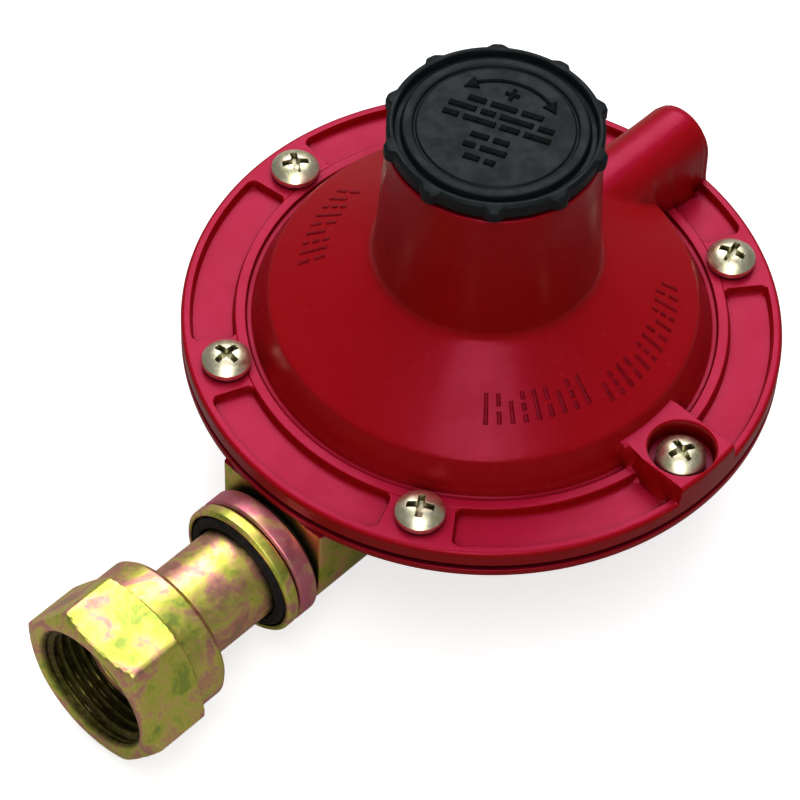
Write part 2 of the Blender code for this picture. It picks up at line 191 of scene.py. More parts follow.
def turn_to(v, axis, at):
    x, y, z = v[:, 0], v[:, 1], v[:, 2]
    if axis == "-X":
        v = np.stack([-z, y, x], -1)
    elif axis == "+X":
        v = np.stack([z, y, -x], -1)
    elif axis == "+Y":
        v = np.stack([x, z, -y], -1)
    return v + np.array(at, float)


def lathe(name, points, cols=96, ring=True, step=1.0, axis="Z", at=(0, 0, 0), sharp=40, arc=15.0):
    """A turned piece from (radius, height, corner radius) points."""
    pts = list(points)
    if ring:
        pts = pts + [pts[0]]
    path = fillet_path(pts, step, arc)
    if ring:
        path = path[:-1]
    th = np.linspace(0, 2 * math.pi, cols, endpoint=False)
    P = np.stack([path[:, :1] * np.cos(th), path[:, :1] * np.sin(th), np.repeat(path[:, 1:], cols, 1)], -1)
    return grid_solid(name, P, ring, axis, at, sharp)


def boolean(obj, others, operation="DIFFERENCE"):
    """Applies one exact Boolean with the given cutters joined in one mesh, then drops the cutters."""
    bm = bmesh.new()
    for o in others:
        o.data.transform(o.matrix_world)
        bm.from_mesh(o.data)
    mesh = bpy.data.meshes.new("cutter")
    bm.to_mesh(mesh)
    bm.free()
    cutter = bpy.data.objects.new("cutter", mesh)
    bpy.context.scene.collection.objects.link(cutter)
    mod = obj.modifiers.new("cut", "BOOLEAN")
    mod.operation = operation
    mod.solver = "EXACT"
    mod.use_self = operation == "UNION" and len(others) > 1
    mod.object = cutter
    bpy.context.view_layer.update()
    graph = bpy.context.evaluated_depsgraph_get()
    result = bpy.data.meshes.new_from_object(obj.evaluated_get(graph))
    obj.modifiers.remove(mod)
    old = obj.data
    obj.data = result
    result.name = old.name
    bpy.data.meshes.remove(old)
    for o in others:
        bpy.data.objects.remove(o, do_unlink=True)
    bpy.data.objects.remove(cutter, do_unlink=True)
    return obj


def finish_shade(obj, degrees=30):
    obj.data.shade_smooth()
    obj.data.set_sharp_from_angle(angle=math.radians(degrees))
    return obj


def polar(r, degrees):
    a = math.radians(degrees)
    return r * math.cos(a), r * math.sin(a)


def spaced(lo, hi, centres, fine, coarse, width):
    """Sample places between lo and hi, close together near the given centres."""
    out = [lo]
    while out[-1] < hi - 1e-9:
        near = min(abs(out[-1] - c) for c in centres) if centres else 1e9
        out.append(min(hi, out[-1] + (fine if near < width else coarse)))
    return np.array(out)


# ------------------------------------------------------------------ upper cover
def cover_height(r, th, base):
    """Height of the cover's upper surface, from the turned height, with the pockets, the pad of the sunk screw and the spout."""
    x, y = r * np.cos(th), r * np.sin(th)
    z = base.copy()
    for a in SCREW_ANGLES:
        mid = math.radians(a + 30)
        d = (th - mid + math.pi) % (2 * math.pi) - math.pi
        sd = box_sdf(r - 44.75, d * 44.75, 3.55, 44.75 * math.radians(22.5), 1.3)
        z = z - 1.4 * smooth(-sd, -0.22, 0.26)
        # a raised bead runs round the inner edge of each pocket
    bx = x - 0.0
    sd = box_sdf(bx, y + 43.5, 6.4, 8.6, 0.5)
    boss = 37.4 - 0.012 * (y + 44) ** 2 * 0
    top = np.where(sd < 3, boss - 3.6 * smooth(sd, -0.15, 0.55) - 4 * smooth(sd, 0.5, 1.2), 20.0)
    z = smax(z, top, 0.35)
    end = np.clip((x - 47.9) / 2.1, 0, 1)
    rs = SPOUT_R + 0.35 - 0.4 * smooth(x, 26, 47) - 1.5 * (1 - np.sqrt(1 - 0.98 * end * end))
    inside = rs * rs - y * y
    crown = SPOUT_Z + np.sqrt(np.maximum(inside, 0.0)) - np.maximum(np.abs(y) - rs, 0) * 30
    crown = np.where((x > 14) & (np.abs(y) < rs + 0.6), crown, 0.0)
    z = np.where(crown > 20, smax(z, crown, 1.0), z)
    return z


def build_cover():
    outer = fillet_path(
        [
            (16.5, 76.0, 0), (17.2, 76.0, 0.5), (18.55, 49.6, 2.6), (35.6, 39.5, 1.6), (37.5, 34.9, 0.9), (38.3, 33.5, 0.4), (39.1, 33.6, 0.3),
            (39.3, 34.15, 0.25), (40.9, 34.15, 0.25), (41.1, 34.0, 0.2), (49.25, 34.0, 0),
        ],
        1.0, 10.0,
    )
    flange = spaced(41.1, 49.25, [41.2, 48.3], 0.13, 0.5, 0.55)
    outer = outer[outer[:, 0] < 41.05]
    outer = np.vstack([outer, np.stack([flange, np.full_like(flange, 34.0)], -1)])
    edges = []
    for a in SCREW_ANGLES:
        edges += [a - 7.5, a + 7.5]
    marks = edges + [270 - 8.2, 270 + 8.2, 262.4, 277.6, -7.0, 7.0, 353.0, 367.0, 345.0, 15.0]
    th = spaced(0.0, 360.0, marks, 0.22, 1.15, 1.3)[:-1]
    th = np.radians(th)
    R = outer[:, :1] * np.ones_like(th)
    Z = cover_height(R, np.broadcast_to(th, R.shape), outer[:, 1:] * np.ones_like(th))
    # outer edge: rounded, then down the wall
    rim_r, rim_z = R[-1], Z[-1]
    rows_r, rows_z = [R], [Z]
    for k in range(1, 7):
        a = math.radians(15 * k)
        rows_r.append((rim_r + 0.75 * math.sin(a))[None])
        rows_z.append((rim_z - 0.75 * (1 - math.cos(a)))[None])
    low = COVER_Z0 + 0.15
    last = rows_z[-1][0]
    for k in range(1, 15):
        t = k / 14
        rows_r.append(np.full((1, len(th)), FLANGE_R))
        rows_z.append((last + (low - last) * t)[None])
    inner = fillet_path(
        [(FLANGE_R - 0.15, COVER_Z0, 0), (38.2, COVER_Z0, 0.3), (36.4, 32.2, 0.8), (33.7, 37.4, 0.8), (17.2, 47.3, 1.5), (14.0, 52.5, 1.0), (14.0, 75.8, 0), (14.2, 76.0, 0)],
        4.0, 25.0,
    )
    rows_r.append(inner[:, :1] * np.ones_like(th))
    rows_z.append(inner[:, 1:] * np.ones_like(th))
    R, Z = np.vstack(rows_r), np.vstack(rows_z)
    P = np.stack([R * np.cos(th), R * np.sin(th), Z], -1)
    cover = grid_solid("cover_casting", P, ring=True)
    cutters = []
    for a in SCREW_ANGLES:
        x, y = polar(PCD_R, a)
        if a == SUNK:
            prof = [(0, 46, 0), (6.6, 46, 0), (6.05, 37.65, 0), (5.55, 37.05, 0.5), (5.35, 34.0, 0.2), (2.35, 33.85, 0), (2.35, 25, 0), (0, 25, 0)]
        else:
            prof = [(0, 46, 0), (2.35, 46, 0), (2.35, 25, 0), (0, 25, 0)]
        path = fillet_path(prof, 10, 15)[1:-1]
        phi = np.linspace(0, 2 * math.pi, 64 if a == SUNK else 32, endpoint=False)
        P = np.stack([path[:, :1] * np.cos(phi), path[:, :1] * np.sin(phi), np.repeat(path[:, 1:], len(phi), 1)], -1)
        cutters.append(grid_solid(f"cut_{a}", P, ring=False, at=(x, y, 0)))
    path = fillet_path([(4.9, 53.0, 0), (4.75, 50.4, 0), (4.3, 49.6, 0.3), (4.3, 47.6, 0), (3.4, 47.6, 0), (3.4, 22.0, 0)], 10, 15)
    phi = np.linspace(0, 2 * math.pi, 64, endpoint=False)
    P = np.stack([path[:, :1] * np.cos(phi), path[:, :1] * np.sin(phi), np.repeat(path[:, 1:], len(phi), 1)], -1)
    cutters.append(grid_solid("cut_spout", P, ring=False, axis="+X", at=(0, 0, SPOUT_Z)))
    boolean(cover, cutters)
    return finish_shade(cover, 38)


# ------------------------------------------------------------------ lower body
def body_depth(r, th, base):
    """Height of the body's underside: the turned bowl and the screw bosses."""
    x, y = r * np.cos(th), r * np.sin(th)
    z = base.copy()
    for a in SCREW_ANGLES:
        cx, cy = polar(PCD_R, a)
        d = np.hypot(x - cx, y - cy)
        z = smin(z, 25.9 + 4.0 * smooth(d, 3.9, 4.5), 0.5)
    return z


def build_body():
    top = [(38.0, BODY_Z1, 0), (49.2, BODY_Z1, 0)]
    wall = fillet_path([(FLANGE_R - 0.35, BODY_Z1, 0.25), (FLANGE_R, BODY_Z1, 0.3), (FLANGE_R, 28.25, 0.6), (48.9, 28.2, 0)], 0.6, 20)
    lower = fillet_path([(48.9, 28.2, 0), (41.4, 28.0, 1.2), (38.2, 21.0, 2.0), (24.6, 1.2, 2.0), (22.5, 0.0, 1.0), (0.6, 0.0, 0)], 0.75, 12)
    th = np.radians(spaced(0.0, 360.0, [0, 360, 180], 0.55, 0.8, 26)[:-1])
    one = np.ones_like(th)
    R = lower[:, :1] * one
    Z = body_depth(R, np.broadcast_to(th, R.shape), lower[:, 1:] * one)
    Z = np.maximum(Z, 0.0)
    rows_r = [np.array([[38.0]]) * one, wall[:, :1] * one, R, ]
    rows_z = [np.array([[BODY_Z1]]) * one, wall[:, 1:] * one, Z]
    # the first rows close the top as a disc, cut out by the chamber below
    rows_r.insert(0, np.array([[0.6]]) * one)
    rows_z.insert(0, np.array([[BODY_Z1]]) * one)
    R, Z = np.vstack(rows_r), np.vstack(rows_z)
    P = np.stack([R * np.cos(th), R * np.sin(th), Z], -1)
    return grid_solid("body_casting", P, ring=False)


def quick_lathe(points, cols, axis="Z", at=(0, 0, 0), step=50.0, arc=15.0):
    """A closed turned solid for joining or cutting."""
    path = fillet_path(points, step, arc)
    path = path[(path[:, 0] > 1e-6)]
    phi = np.linspace(0, 2 * math.pi, cols, endpoint=False)
    P = np.stack([path[:, :1] * np.cos(phi), path[:, :1] * np.sin(phi), np.repeat(path[:, 1:], cols, 1)], -1)
    return grid_solid("blank", P, ring=False, axis=axis, at=at)


def block(lo, hi):
    xs, ys = (lo[0], hi[0]), (lo[1], hi[1])
    ring = [(xs[0], ys[0]), (xs[1], ys[0]), (xs[1], ys[1]), (xs[0], ys[1])]
    P = np.array([[(x, y, z) for x, y in ring] for z in (lo[2], hi[2])], float)
    return grid_solid("block", P, ring=False)


def pipe_boss(sign, half, front):
    """A cast boss under the rim: round below, straight sides up to the flange, edges broken."""
    top = 28.35
    side = [(half, z) for z in np.linspace(top, INLET_Z, 9)]
    low = [(half * math.cos(a), INLET_Z - half * math.sin(a)) for a in np.linspace(0, math.pi, 40)[1:-1]]
    other = [(-half, z) for z in np.linspace(INLET_Z, top, 9)]
    ring = np.array(side + low + other)
    mid = np.array([0.0, INLET_Z])
    rows = []
    for back, inset in ((25.3, 0.0), (17.3, 0.0), (9.3, 0.0), (3.3, 0.0), (0.75, 0.0), (0.45, 0.07), (0.2, 0.22), (0.05, 0.42), (0.0, 0.7)):
        d = ring - mid
        scale = (np.linalg.norm(d, axis=1) - inset) / np.linalg.norm(d, axis=1)
        p = mid + d * scale[:, None]
        p[:, 1] = np.where(ring[:, 1] > top - 0.01, top, p[:, 1])
        rows.append(np.stack([np.full(len(p), sign * (front - back)), p[:, 0], p[:, 1]], -1))
    return grid_solid("boss", np.array(rows), ring=False)


def finish_body(body):
    boolean(body, [pipe_boss(-1, 11.15, 49.3)], "UNION")
    boolean(body, [pipe_boss(1, 10.95, 47.5)], "UNION")
    chamber = quick_lathe([(0, 33.0), (38.0, 33.0), (38.0, 27.0, 2.0), (34.8, 20.6, 3.0), (22.0, 3.6, 2.5), (0, 3.6)], 160, step=3.0)
    boolean(body, [chamber])
    boolean(body, [quick_lathe([(0, 11.6), (7.6, 11.6, 0.6), (7.6, 30.0, 1.5), (9.7, 31.0, 0.5), (9.7, 38.0), (0, 38.0)], 72, "-X", (0, 0, INLET_Z))], "UNION")
    boolean(body, [block((-23.5, -2.0, 2.8), (-13.0, 2.0, 12.0))], "UNION")
    boolean(body, [block((0.0, -6.0, 2.8), (5.0, 6.0, 20.8))], "UNION")
    cutters = [
        quick_lathe([(0, 52.0), (9.4, 52.0), (9.4, 49.35), (8.35, 48.3, 0.2), (8.35, 32.6), (4.6, 32.6), (4.6, 16.9), (3.75, 16.9), (3.75, 10.0), (0, 10.0)], 72, "-X", (0, 0, INLET_Z)),
        quick_lathe([(0, -2.0), (3.35, -2.0), (3.35, 7.0), (0, 7.0)], 48, "+X", (0, 0, INLET_Z)),
    ]
    boolean(body, cutters)
    # the outlet bore, with its chamfer and the turns of its thread
    rows = [(7.2, 26.0)]
    ax = 38.0
    while ax < 45.2:
        rows += [(7.2, ax), (7.75, ax + 0.34), (7.75, ax + 0.5), (7.2, ax + 0.84)]
        ax += 1.155
    rows += [(7.2, 46.4), (8.4, 47.6), (8.4, 50.0)]
    boolean(body, [quick_lathe([(0, 26.0)] + rows + [(0, 50.0)], 72, "+X", (0, 0, INLET_Z))])
    cutters = []
    for a in SCREW_ANGLES:
        x, y = polar(PCD_R, a)
        cutters.append(quick_lathe([(0, 24.0), (2.9, 24.0), (2.35, 26.2), (2.35, 32.0), (0, 32.0)], 24, at=(x, y, 0)))
    for y in (-8.2, 8.2):
        cutters.append(quick_lathe([(0, 1.4), (1.3, 1.4), (1.3, 5.0), (0, 5.0)], 20, at=(16.6, y, 0)))
    boolean(body, cutters)
    return finish_shade(body, 38)


# ------------------------------------------------------------------ hexagons and threads
def hex_radius(th, flats, turn):
    """Distance to the side of a hexagon across the given flats."""
    d = (th - turn + math.pi / 6) % (math.pi / 3) - math.pi / 6
    return (flats / 2) / np.cos(d)


def hex_columns(turn, fine=0.6, coarse=1.5):
    corners = [(math.degrees(turn) + 30 + 60 * k) % 360 for k in range(-1, 8)]
    corners += [c - 360 for c in corners] + [c + 360 for c in corners]
    return np.radians(spaced(0.0, 360.0, corners, fine, coarse, 3.5)[:-1])


def hex_rows(th, flats, turn, sections, soft=0.35):
    """Rows of a hexagon bounded by a turned limit: sections are (limit radius, axial place)."""
    hexa = smin(hex_radius(th, flats, turn), np.full_like(th, flats / 2 / math.cos(math.pi / 6) - 0.18), 0.3)
    rows = []
    for r, ax in sections:
        rad = smin(hexa, np.full_like(th, r), soft)
        rows.append(np.stack([rad * np.cos(th), rad * np.sin(th), np.full_like(th, ax)], -1))
    return rows


def round_rows(th, path):
    return [np.stack([r * np.cos(th), r * np.sin(th), np.full_like(th, z)], -1) for r, z in path]


def thread_rows(th, start, end, root, crest, pitch, step=0.13):
    """Rows of an internal thread: it runs in and out over one turn at each end."""
    rows = []
    for z in np.arange(start, end, step):
        ph = ((z - start) / pitch - th / (2 * math.pi)) % 1.0
        tri = np.abs(ph * 2 - 1)
        wave = np.clip((tri - 0.12) / 0.74, 0, 1)
        ease = smooth(z, start, start + 0.7) * (1 - smooth(z, end - 0.9, end - 0.1))
        rad = root - (root - crest) * wave * ease
        rows.append(np.stack([rad * np.cos(th), rad * np.sin(th), np.full_like(th, z)], -1))
    return rows


def build_union_nut():
    turn = math.radians(-7.4)
    th = hex_columns(turn)
    flats = 27.1
    rows = []
    rows += hex_rows(th, flats, turn, [(13.25, 78.45), (13.9, 78.62), (14.5, 78.82), (15.05, 79.08), (15.5, 79.38), (15.9, 79.8), (17, 80.4)])
    rows += hex_rows(th, flats, turn, [(17, ax) for ax in np.arange(81.0, 87.6, 1.1)])
    rows += hex_rows(th, flats, turn, [(16.6, 88.1), (15.9, 88.6), (15.35, 88.98), (14.8, 89.32), (14.2, 89.64), (13.6, 89.9), (13.2, 90.05)])
    rows += round_rows(th, fillet_path([(13.1, 90.08), (12.85, 90.15, 0.1), (11.75, 90.15, 0.25), (10.95, 89.3, 0.1)], 0.5, 20))
    rows += thread_rows(th, 80.75, 89.1, 10.95, 10.0, 1.814)[::-1]
    rows += round_rows(th, fillet_path([(10.95, 80.6), (10.95, 75.45, 0.3), (8.8, 75.4, 0.3), (8.8, 72.3, 0.35), (12.5, 72.2, 0.0), (13.2, 73.0, 0.4), (13.2, 78.25, 0.15), (13.3, 78.42)], 0.9, 20))
    return finish_shade(grid_solid("union_nut_shell", np.array(rows), True, "-X", (0, 0, INLET_Z)), 32)


def build_adapter():
    th = np.radians(np.arange(0, 360, 2.0))
    rows = []
    rows += round_rows(th, fillet_path([(8.2, 50.2), (11.3, 50.2, 0.3), (11.9, 50.75, 0.3), (11.9, 53.9, 0.35), (11.4, 54.3, 0.2), (7.5, 54.3, 0.25), (7.2, 54.0), (7.2, 44.0), (3.6, 44.0), (3.6, 33.2), (7.7, 33.2, 0.2), (8.0, 33.6)], 0.7, 15))
    # the turns of the thread that holds it in the body
    for ax in np.arange(34.0, 48.2, 0.24):
        ph = ((ax - 34) / 1.337 - th / (2 * math.pi)) % 1.0
        rad = 8.05 - 0.55 * np.clip(np.abs(ph * 2 - 1) * 1.3 - 0.15, 0, 1)
        rows.append(np.stack([rad * np.cos(th), rad * np.sin(th), np.full_like(th, ax)], -1))
    rows += round_rows(th, [(7.4, 48.5), (7.4, 49.7), (7.9, 50.0)])
    return finish_shade(grid_solid("inlet_adapter_body", np.array(rows), True, "-X", (0, 0, INLET_Z)), 32)


# ------------------------------------------------------------------ screws
def build_screw(name, at, turn, z0):
    """A pan-head screw with a cross recess, its underside at z0."""
    x0, y0 = at
    th = np.radians(np.arange(0, 360, 3.0))
    rr = np.concatenate([np.arange(0.08, 2.9, 0.11), np.array([3.0, 3.2, 3.4, 3.58, 3.74, 3.86, 3.95, 4.01, 4.05])])
    R = rr[:, None] * np.ones_like(th)
    u = R * np.cos(th - turn)
    v = R * np.sin(th - turn)
    dome = 2.72 - 0.062 * R**2 - 0.0018 * R**4
    side = 1.15 + 1.25 * np.sqrt(np.clip(1 - ((R - 2.6) / 1.46) ** 2, 0, 1))
    head = np.where(R > 2.6, np.minimum(dome, side), dome)
    arm = lambda a, b: np.maximum(np.abs(a) - 2.25 + 0.25 * np.abs(b), np.abs(b) - 0.52)
    sd = np.minimum(arm(u, v), arm(v, u))
    sd = np.minimum(sd, np.abs(u) + np.abs(v) - 1.25)
    depth = 1.75 * smooth(-sd, -0.05, 0.14) * (1 - 0.42 * np.clip(R / 2.3, 0, 1))
    Z = np.maximum(head - depth, 0.55)
    rows = [np.stack([R[i] * np.cos(th), R[i] * np.sin(th), z0 + Z[i]], -1) for i in range(len(rr))]
    low = Z[-1].mean()
    rows += round_rows(th, [(4.05, z0 + low * 0.6), (4.05, z0 + 0.22), (3.98, z0 + 0.06), (3.85, z0), (2.2, z0), (2.0, z0 - 0.25)])
    for ax in np.arange(0.6, 6.9, 0.14):
        ph = ((ax - 0.6) / 0.7 - th / (2 * math.pi)) % 1.0
        ease = smooth(ax, 0.6, 1.3) * (1 - smooth(ax, 6.4, 6.9))
        rad = 2.0 - 0.38 * np.abs(ph * 2 - 1) * ease
        rows.append(np.stack([rad * np.cos(th), rad * np.sin(th), np.full_like(th, z0 - ax)], -1))
    rows += round_rows(th, [(2.0, z0 - 7.0), (1.5, z0 - 7.6), (0.3, z0 - 7.65)])
    P = np.array(rows)
    P[..., 0] += x0
    P[..., 1] += y0
    return finish_shade(grid_solid(name, P, ring=False), 40)


# ------------------------------------------------------------------ cap
def build_cap():
    lobes = np.radians([-30 + 36 * k for k in range(10)])
    deg = [math.degrees(a) % 360 for a in lobes]
    th = np.radians(spaced(0.0, 360.0, deg + [d - 360 for d in deg] + [d + 360 for d in deg], 0.6, 1.1, 8.0)[:-1])
    gap = np.min(np.abs((th[:, None] - lobes[None] + math.pi) % (2 * math.pi) - math.pi), axis=1)
    bump = 1 - smooth(np.degrees(gap), 1.6, 6.4)
    prof = fillet_path(
        [
            (0.4, 79.2), (12.5, 79.2, 0.25), (12.75, 78.9, 0.12), (13.0, 78.9, 0.12), (13.2, 79.3, 0.2), (13.6, 79.4, 0.15), (14.75, 79.4, 0.35), (15.1, 78.25, 0.2), (15.95, 78.25, 0.2), (16.2, 79.6, 0.2),
            (16.45, 79.7, 0.15), (16.8, 79.7, 0.2), (17.28, 79.25, 0.25), (17.28, 77.4, 0), (17.28, 77.2, 0.1), (17.1, 77.1, 0.1), (13.6, 77.1, 0.2), (13.6, 72.6), (13.1, 72.0, 0.1), (11.2, 72.0, 0.1), (11.2, 77.3), (0.4, 77.3),
        ],
        0.55, 15,
    )
    rows = []
    for r, z in prof:
        up = float(smooth(r, 16.1, 16.9)) if z > 77.15 else 0.0
        rad = r + 0.98 * up * bump
        drop = 0.32 * bump * up if z > 78.9 else 0.0
        rows.append(np.stack([rad * np.cos(th), rad * np.sin(th), np.full_like(th, z) - drop], -1))
    cap = grid_solid("cap_moulding", np.array(rows), ring=False)
    return finish_shade(cap, 32)


# ------------------------------------------------------------------ raised marks
def raised(name, shapes, place_fn, height, sink=0.3, bevel=0.16):
    """Flat outlines laid on a surface and raised from it with drafted sides."""
    verts, faces = [], []
    for outline in shapes:
        pts = np.array(outline, float)
        area = 0.5 * np.sum(pts[:, 0] * np.roll(pts[:, 1], -1) - np.roll(pts[:, 0], -1) * pts[:, 1])
        if area < 0:
            pts = pts[::-1]
        dense = []
        n = len(pts)
        for i in range(n):
            a, b = pts[i], pts[(i + 1) % n]
            k = max(1, int(np.linalg.norm(b - a) / 0.8))
            dense += [a + (b - a) * j / k for j in range(k)]
        pts = np.array(dense)
        prev, nxt = np.roll(pts, 1, axis=0), np.roll(pts, -1, axis=0)
        d = nxt - prev
        inward = np.stack([-d[:, 1], d[:, 0]], -1) / np.linalg.norm(d, axis=1)[:, None]
        rings = [(pts - inward * 0.05, -sink), (pts, height * 0.25), (pts + inward * bevel * 0.55, height * 0.85), (pts + inward * bevel, height)]
        base = len(verts)
        m = len(pts)
        for ring, h in rings:
            verts += [place_fn(p[0], p[1], h) for p in ring]
        for k in range(len(rings) - 1):
            for i in range(m):
                j = (i + 1) % m
                a = base + k * m
                faces.append([a + i, a + j, a + m + j, a + m + i])
        faces.append([base + i for i in range(m)][::-1])
        top = base + (len(rings) - 1) * m
        faces.append([top + i for i in range(m)])
    obj = mesh_object(name, np.array(verts) * MM, faces)
    return finish_shade(obj, 50)


def on_cone(centre_deg, centre_r):
    """Places (along, up) on the cone: along runs round it, up climbs it."""
    slope = math.atan2(47.2 - 39.3, 35.4 - 22.0)

    def put(u, v, h):
        r = centre_r - v * math.cos(slope) + h * math.sin(slope)
        zc = 47.2 - (centre_r - 22.0) * math.tan(slope) + v * math.sin(slope) + h * math.cos(slope)
        a = math.radians(centre_deg) + u / centre_r
        return (r * math.cos(a), r * math.sin(a), zc)

    return put


def bar(u, v, w, h, lean=0.0):
    return [(u - w / 2 - lean, v - h / 2), (u + w / 2 - lean, v - h / 2), (u + w / 2 + lean, v + h / 2), (u - w / 2 + lean, v + h / 2)]


def arrow(u, v, length, width):
    """An arrow pointing along +u."""
    s, t = length / 2, width / 2
    return [(u - s, v - t * 0.38), (u + s - width, v - t * 0.38), (u + s - width, v - t), (u + s, v), (u + s - width, v + t), (u + s - width, v + t * 0.38), (u - s, v + t * 0.38)]


def arc_band(r, a0, a1, w, n=24):
    out = [polar(r + w / 2, a0 + (a1 - a0) * i / n) for i in range(n + 1)]
    out += [polar(r - w / 2, a1 + (a0 - a1) * i / n) for i in range(n + 1)]
    return out


# ------------------------------------------------------------------ springs and wires
def build_spring(name, first, last):
    """The turns of the main spring from first to last."""
    low, high, radius, wire, turns = 31.4, 60.0, 10.2, 1.0, 5
    n = int((last - first) * 60) + 1
    t = np.linspace(first, last, n)
    ease = np.minimum(t, 1.0) ** 2 * 0.5 + np.maximum(t - 1.0, 0.0) - np.maximum(t - (turns - 1.0), 0.0) ** 2 * 0.5
    z = low + wire + (high - low - 2 * wire) * (0.06 * t / turns + 0.94 * ease / (turns - 1.0))
    a = 2 * math.pi * t
    centre = np.stack([radius * np.cos(a), radius * np.sin(a), z], -1)
    tangent = np.gradient(centre, axis=0)
    tangent /= np.linalg.norm(tangent, axis=1)[:, None]
    out = np.stack([np.cos(a), np.sin(a), np.zeros_like(a)], -1)
    up = np.cross(tangent, out)
    phi = np.linspace(0, 2 * math.pi, 20, endpoint=False)
    rad = wire * np.ones(n)
    P = centre[:, None] + rad[:, None, None] * (np.cos(phi)[None, :, None] * out[:, None] + np.sin(phi)[None, :, None] * up[:, None])
    # the end coils are ground flat
    P[..., 2] = np.clip(P[..., 2], low + 0.06, high - 0.06)
    return finish_shade(grid_solid(name, P, ring=False), 40)


# ------------------------------------------------------------------ materials
class Mat:
    def __init__(self, name):
        self.mat = bpy.data.materials.new(name)
        self.mat.use_nodes = True
        self.nt = self.mat.node_tree
        self.bsdf = self.nt.nodes["Principled BSDF"]
        self.coord = self.node("ShaderNodeTexCoord").outputs["Object"]

    def node(self, kind, **inputs):
        n = self.nt.nodes.new(kind)
        for key, value in inputs.items():
            if hasattr(n, key) and key not in n.inputs:
                setattr(n, key, value)
            else:
                self.put(n.inputs[key], value)
        return n

    def put(self, socket, value):
        if hasattr(value, "is_output") or isinstance(value, bpy.types.NodeSocket):
            self.nt.links.new(value, socket)
        elif isinstance(value, tuple) and len(value) == 3 and socket.type == "RGBA":
            socket.default_value = (*value, 1.0)
        else:
            socket.default_value = value

    def set(self, **inputs):
        for key, value in inputs.items():
            self.put(self.bsdf.inputs[key.replace("_", " ")], value)

    def noise(self, size_mm, detail=3.0, rough=0.55, vector=None, distortion=0.0):
        n = self.node("ShaderNodeTexNoise", Scale=1000.0 / size_mm, Detail=detail, Roughness=rough, Distortion=distortion)
        self.put(n.inputs["Vector"], vector or self.coord)
        return n.outputs["Fac"]

    def span(self, value, lo, hi, to_lo=0.0, to_hi=1.0, kind="SMOOTHSTEP"):
        n = self.node("ShaderNodeMapRange")
        n.interpolation_type = kind
        for i, v in enumerate((value, lo, hi, to_lo, to_hi)):
            self.put(n.inputs[i], v)
        return n.outputs[0]

    def math(self, op, a, b=0.0):
        n = self.node("ShaderNodeMath")
        n.operation = op
        self.put(n.inputs[0], a)
        self.put(n.inputs[1], b)
        return n.outputs[0]

    def mix(self, fac, a, b):
        n = self.node("ShaderNodeMix")
        n.data_type = "RGBA"
        self.put(n.inputs[0], fac)
        self.put(n.inputs[6], a)
        self.put(n.inputs[7], b)
        return n.outputs[2]

    def bump(self, height, distance_mm, strength=1.0, base=None):
        n = self.node("ShaderNodeBump", Strength=strength, Distance=distance_mm * MM)
        self.put(n.inputs["Height"], height)
        if base is not None:
            self.put(n.inputs["Normal"], base)
        return n.outputs[0]

    def ao(self, distance_mm):
        n = self.node("ShaderNodeAmbientOcclusion", Distance=distance_mm * MM)
        n.samples = 6
        return n.outputs["AO"]

    def facing(self, blend=0.5):
        return self.node("ShaderNodeLayerWeight", Blend=blend).outputs["Facing"]

    def up(self):
        geo = self.node("ShaderNodeNewGeometry")
        sep = self.node("ShaderNodeSeparateXYZ")
        self.put(sep.inputs[0], geo.outputs["Normal"])
        return sep.outputs[2]

    def ramp(self, value, stops):
        n = self.node("ShaderNodeValToRGB")
        while len(n.color_ramp.elements) < len(stops):
            n.color_ramp.elements.new(0.5)
        for e, (p, c) in zip(n.color_ramp.elements, stops):
            e.position = p
            e.color = (*c, 1.0)
        self.put(n.inputs[0], value)
        return n.outputs[0]


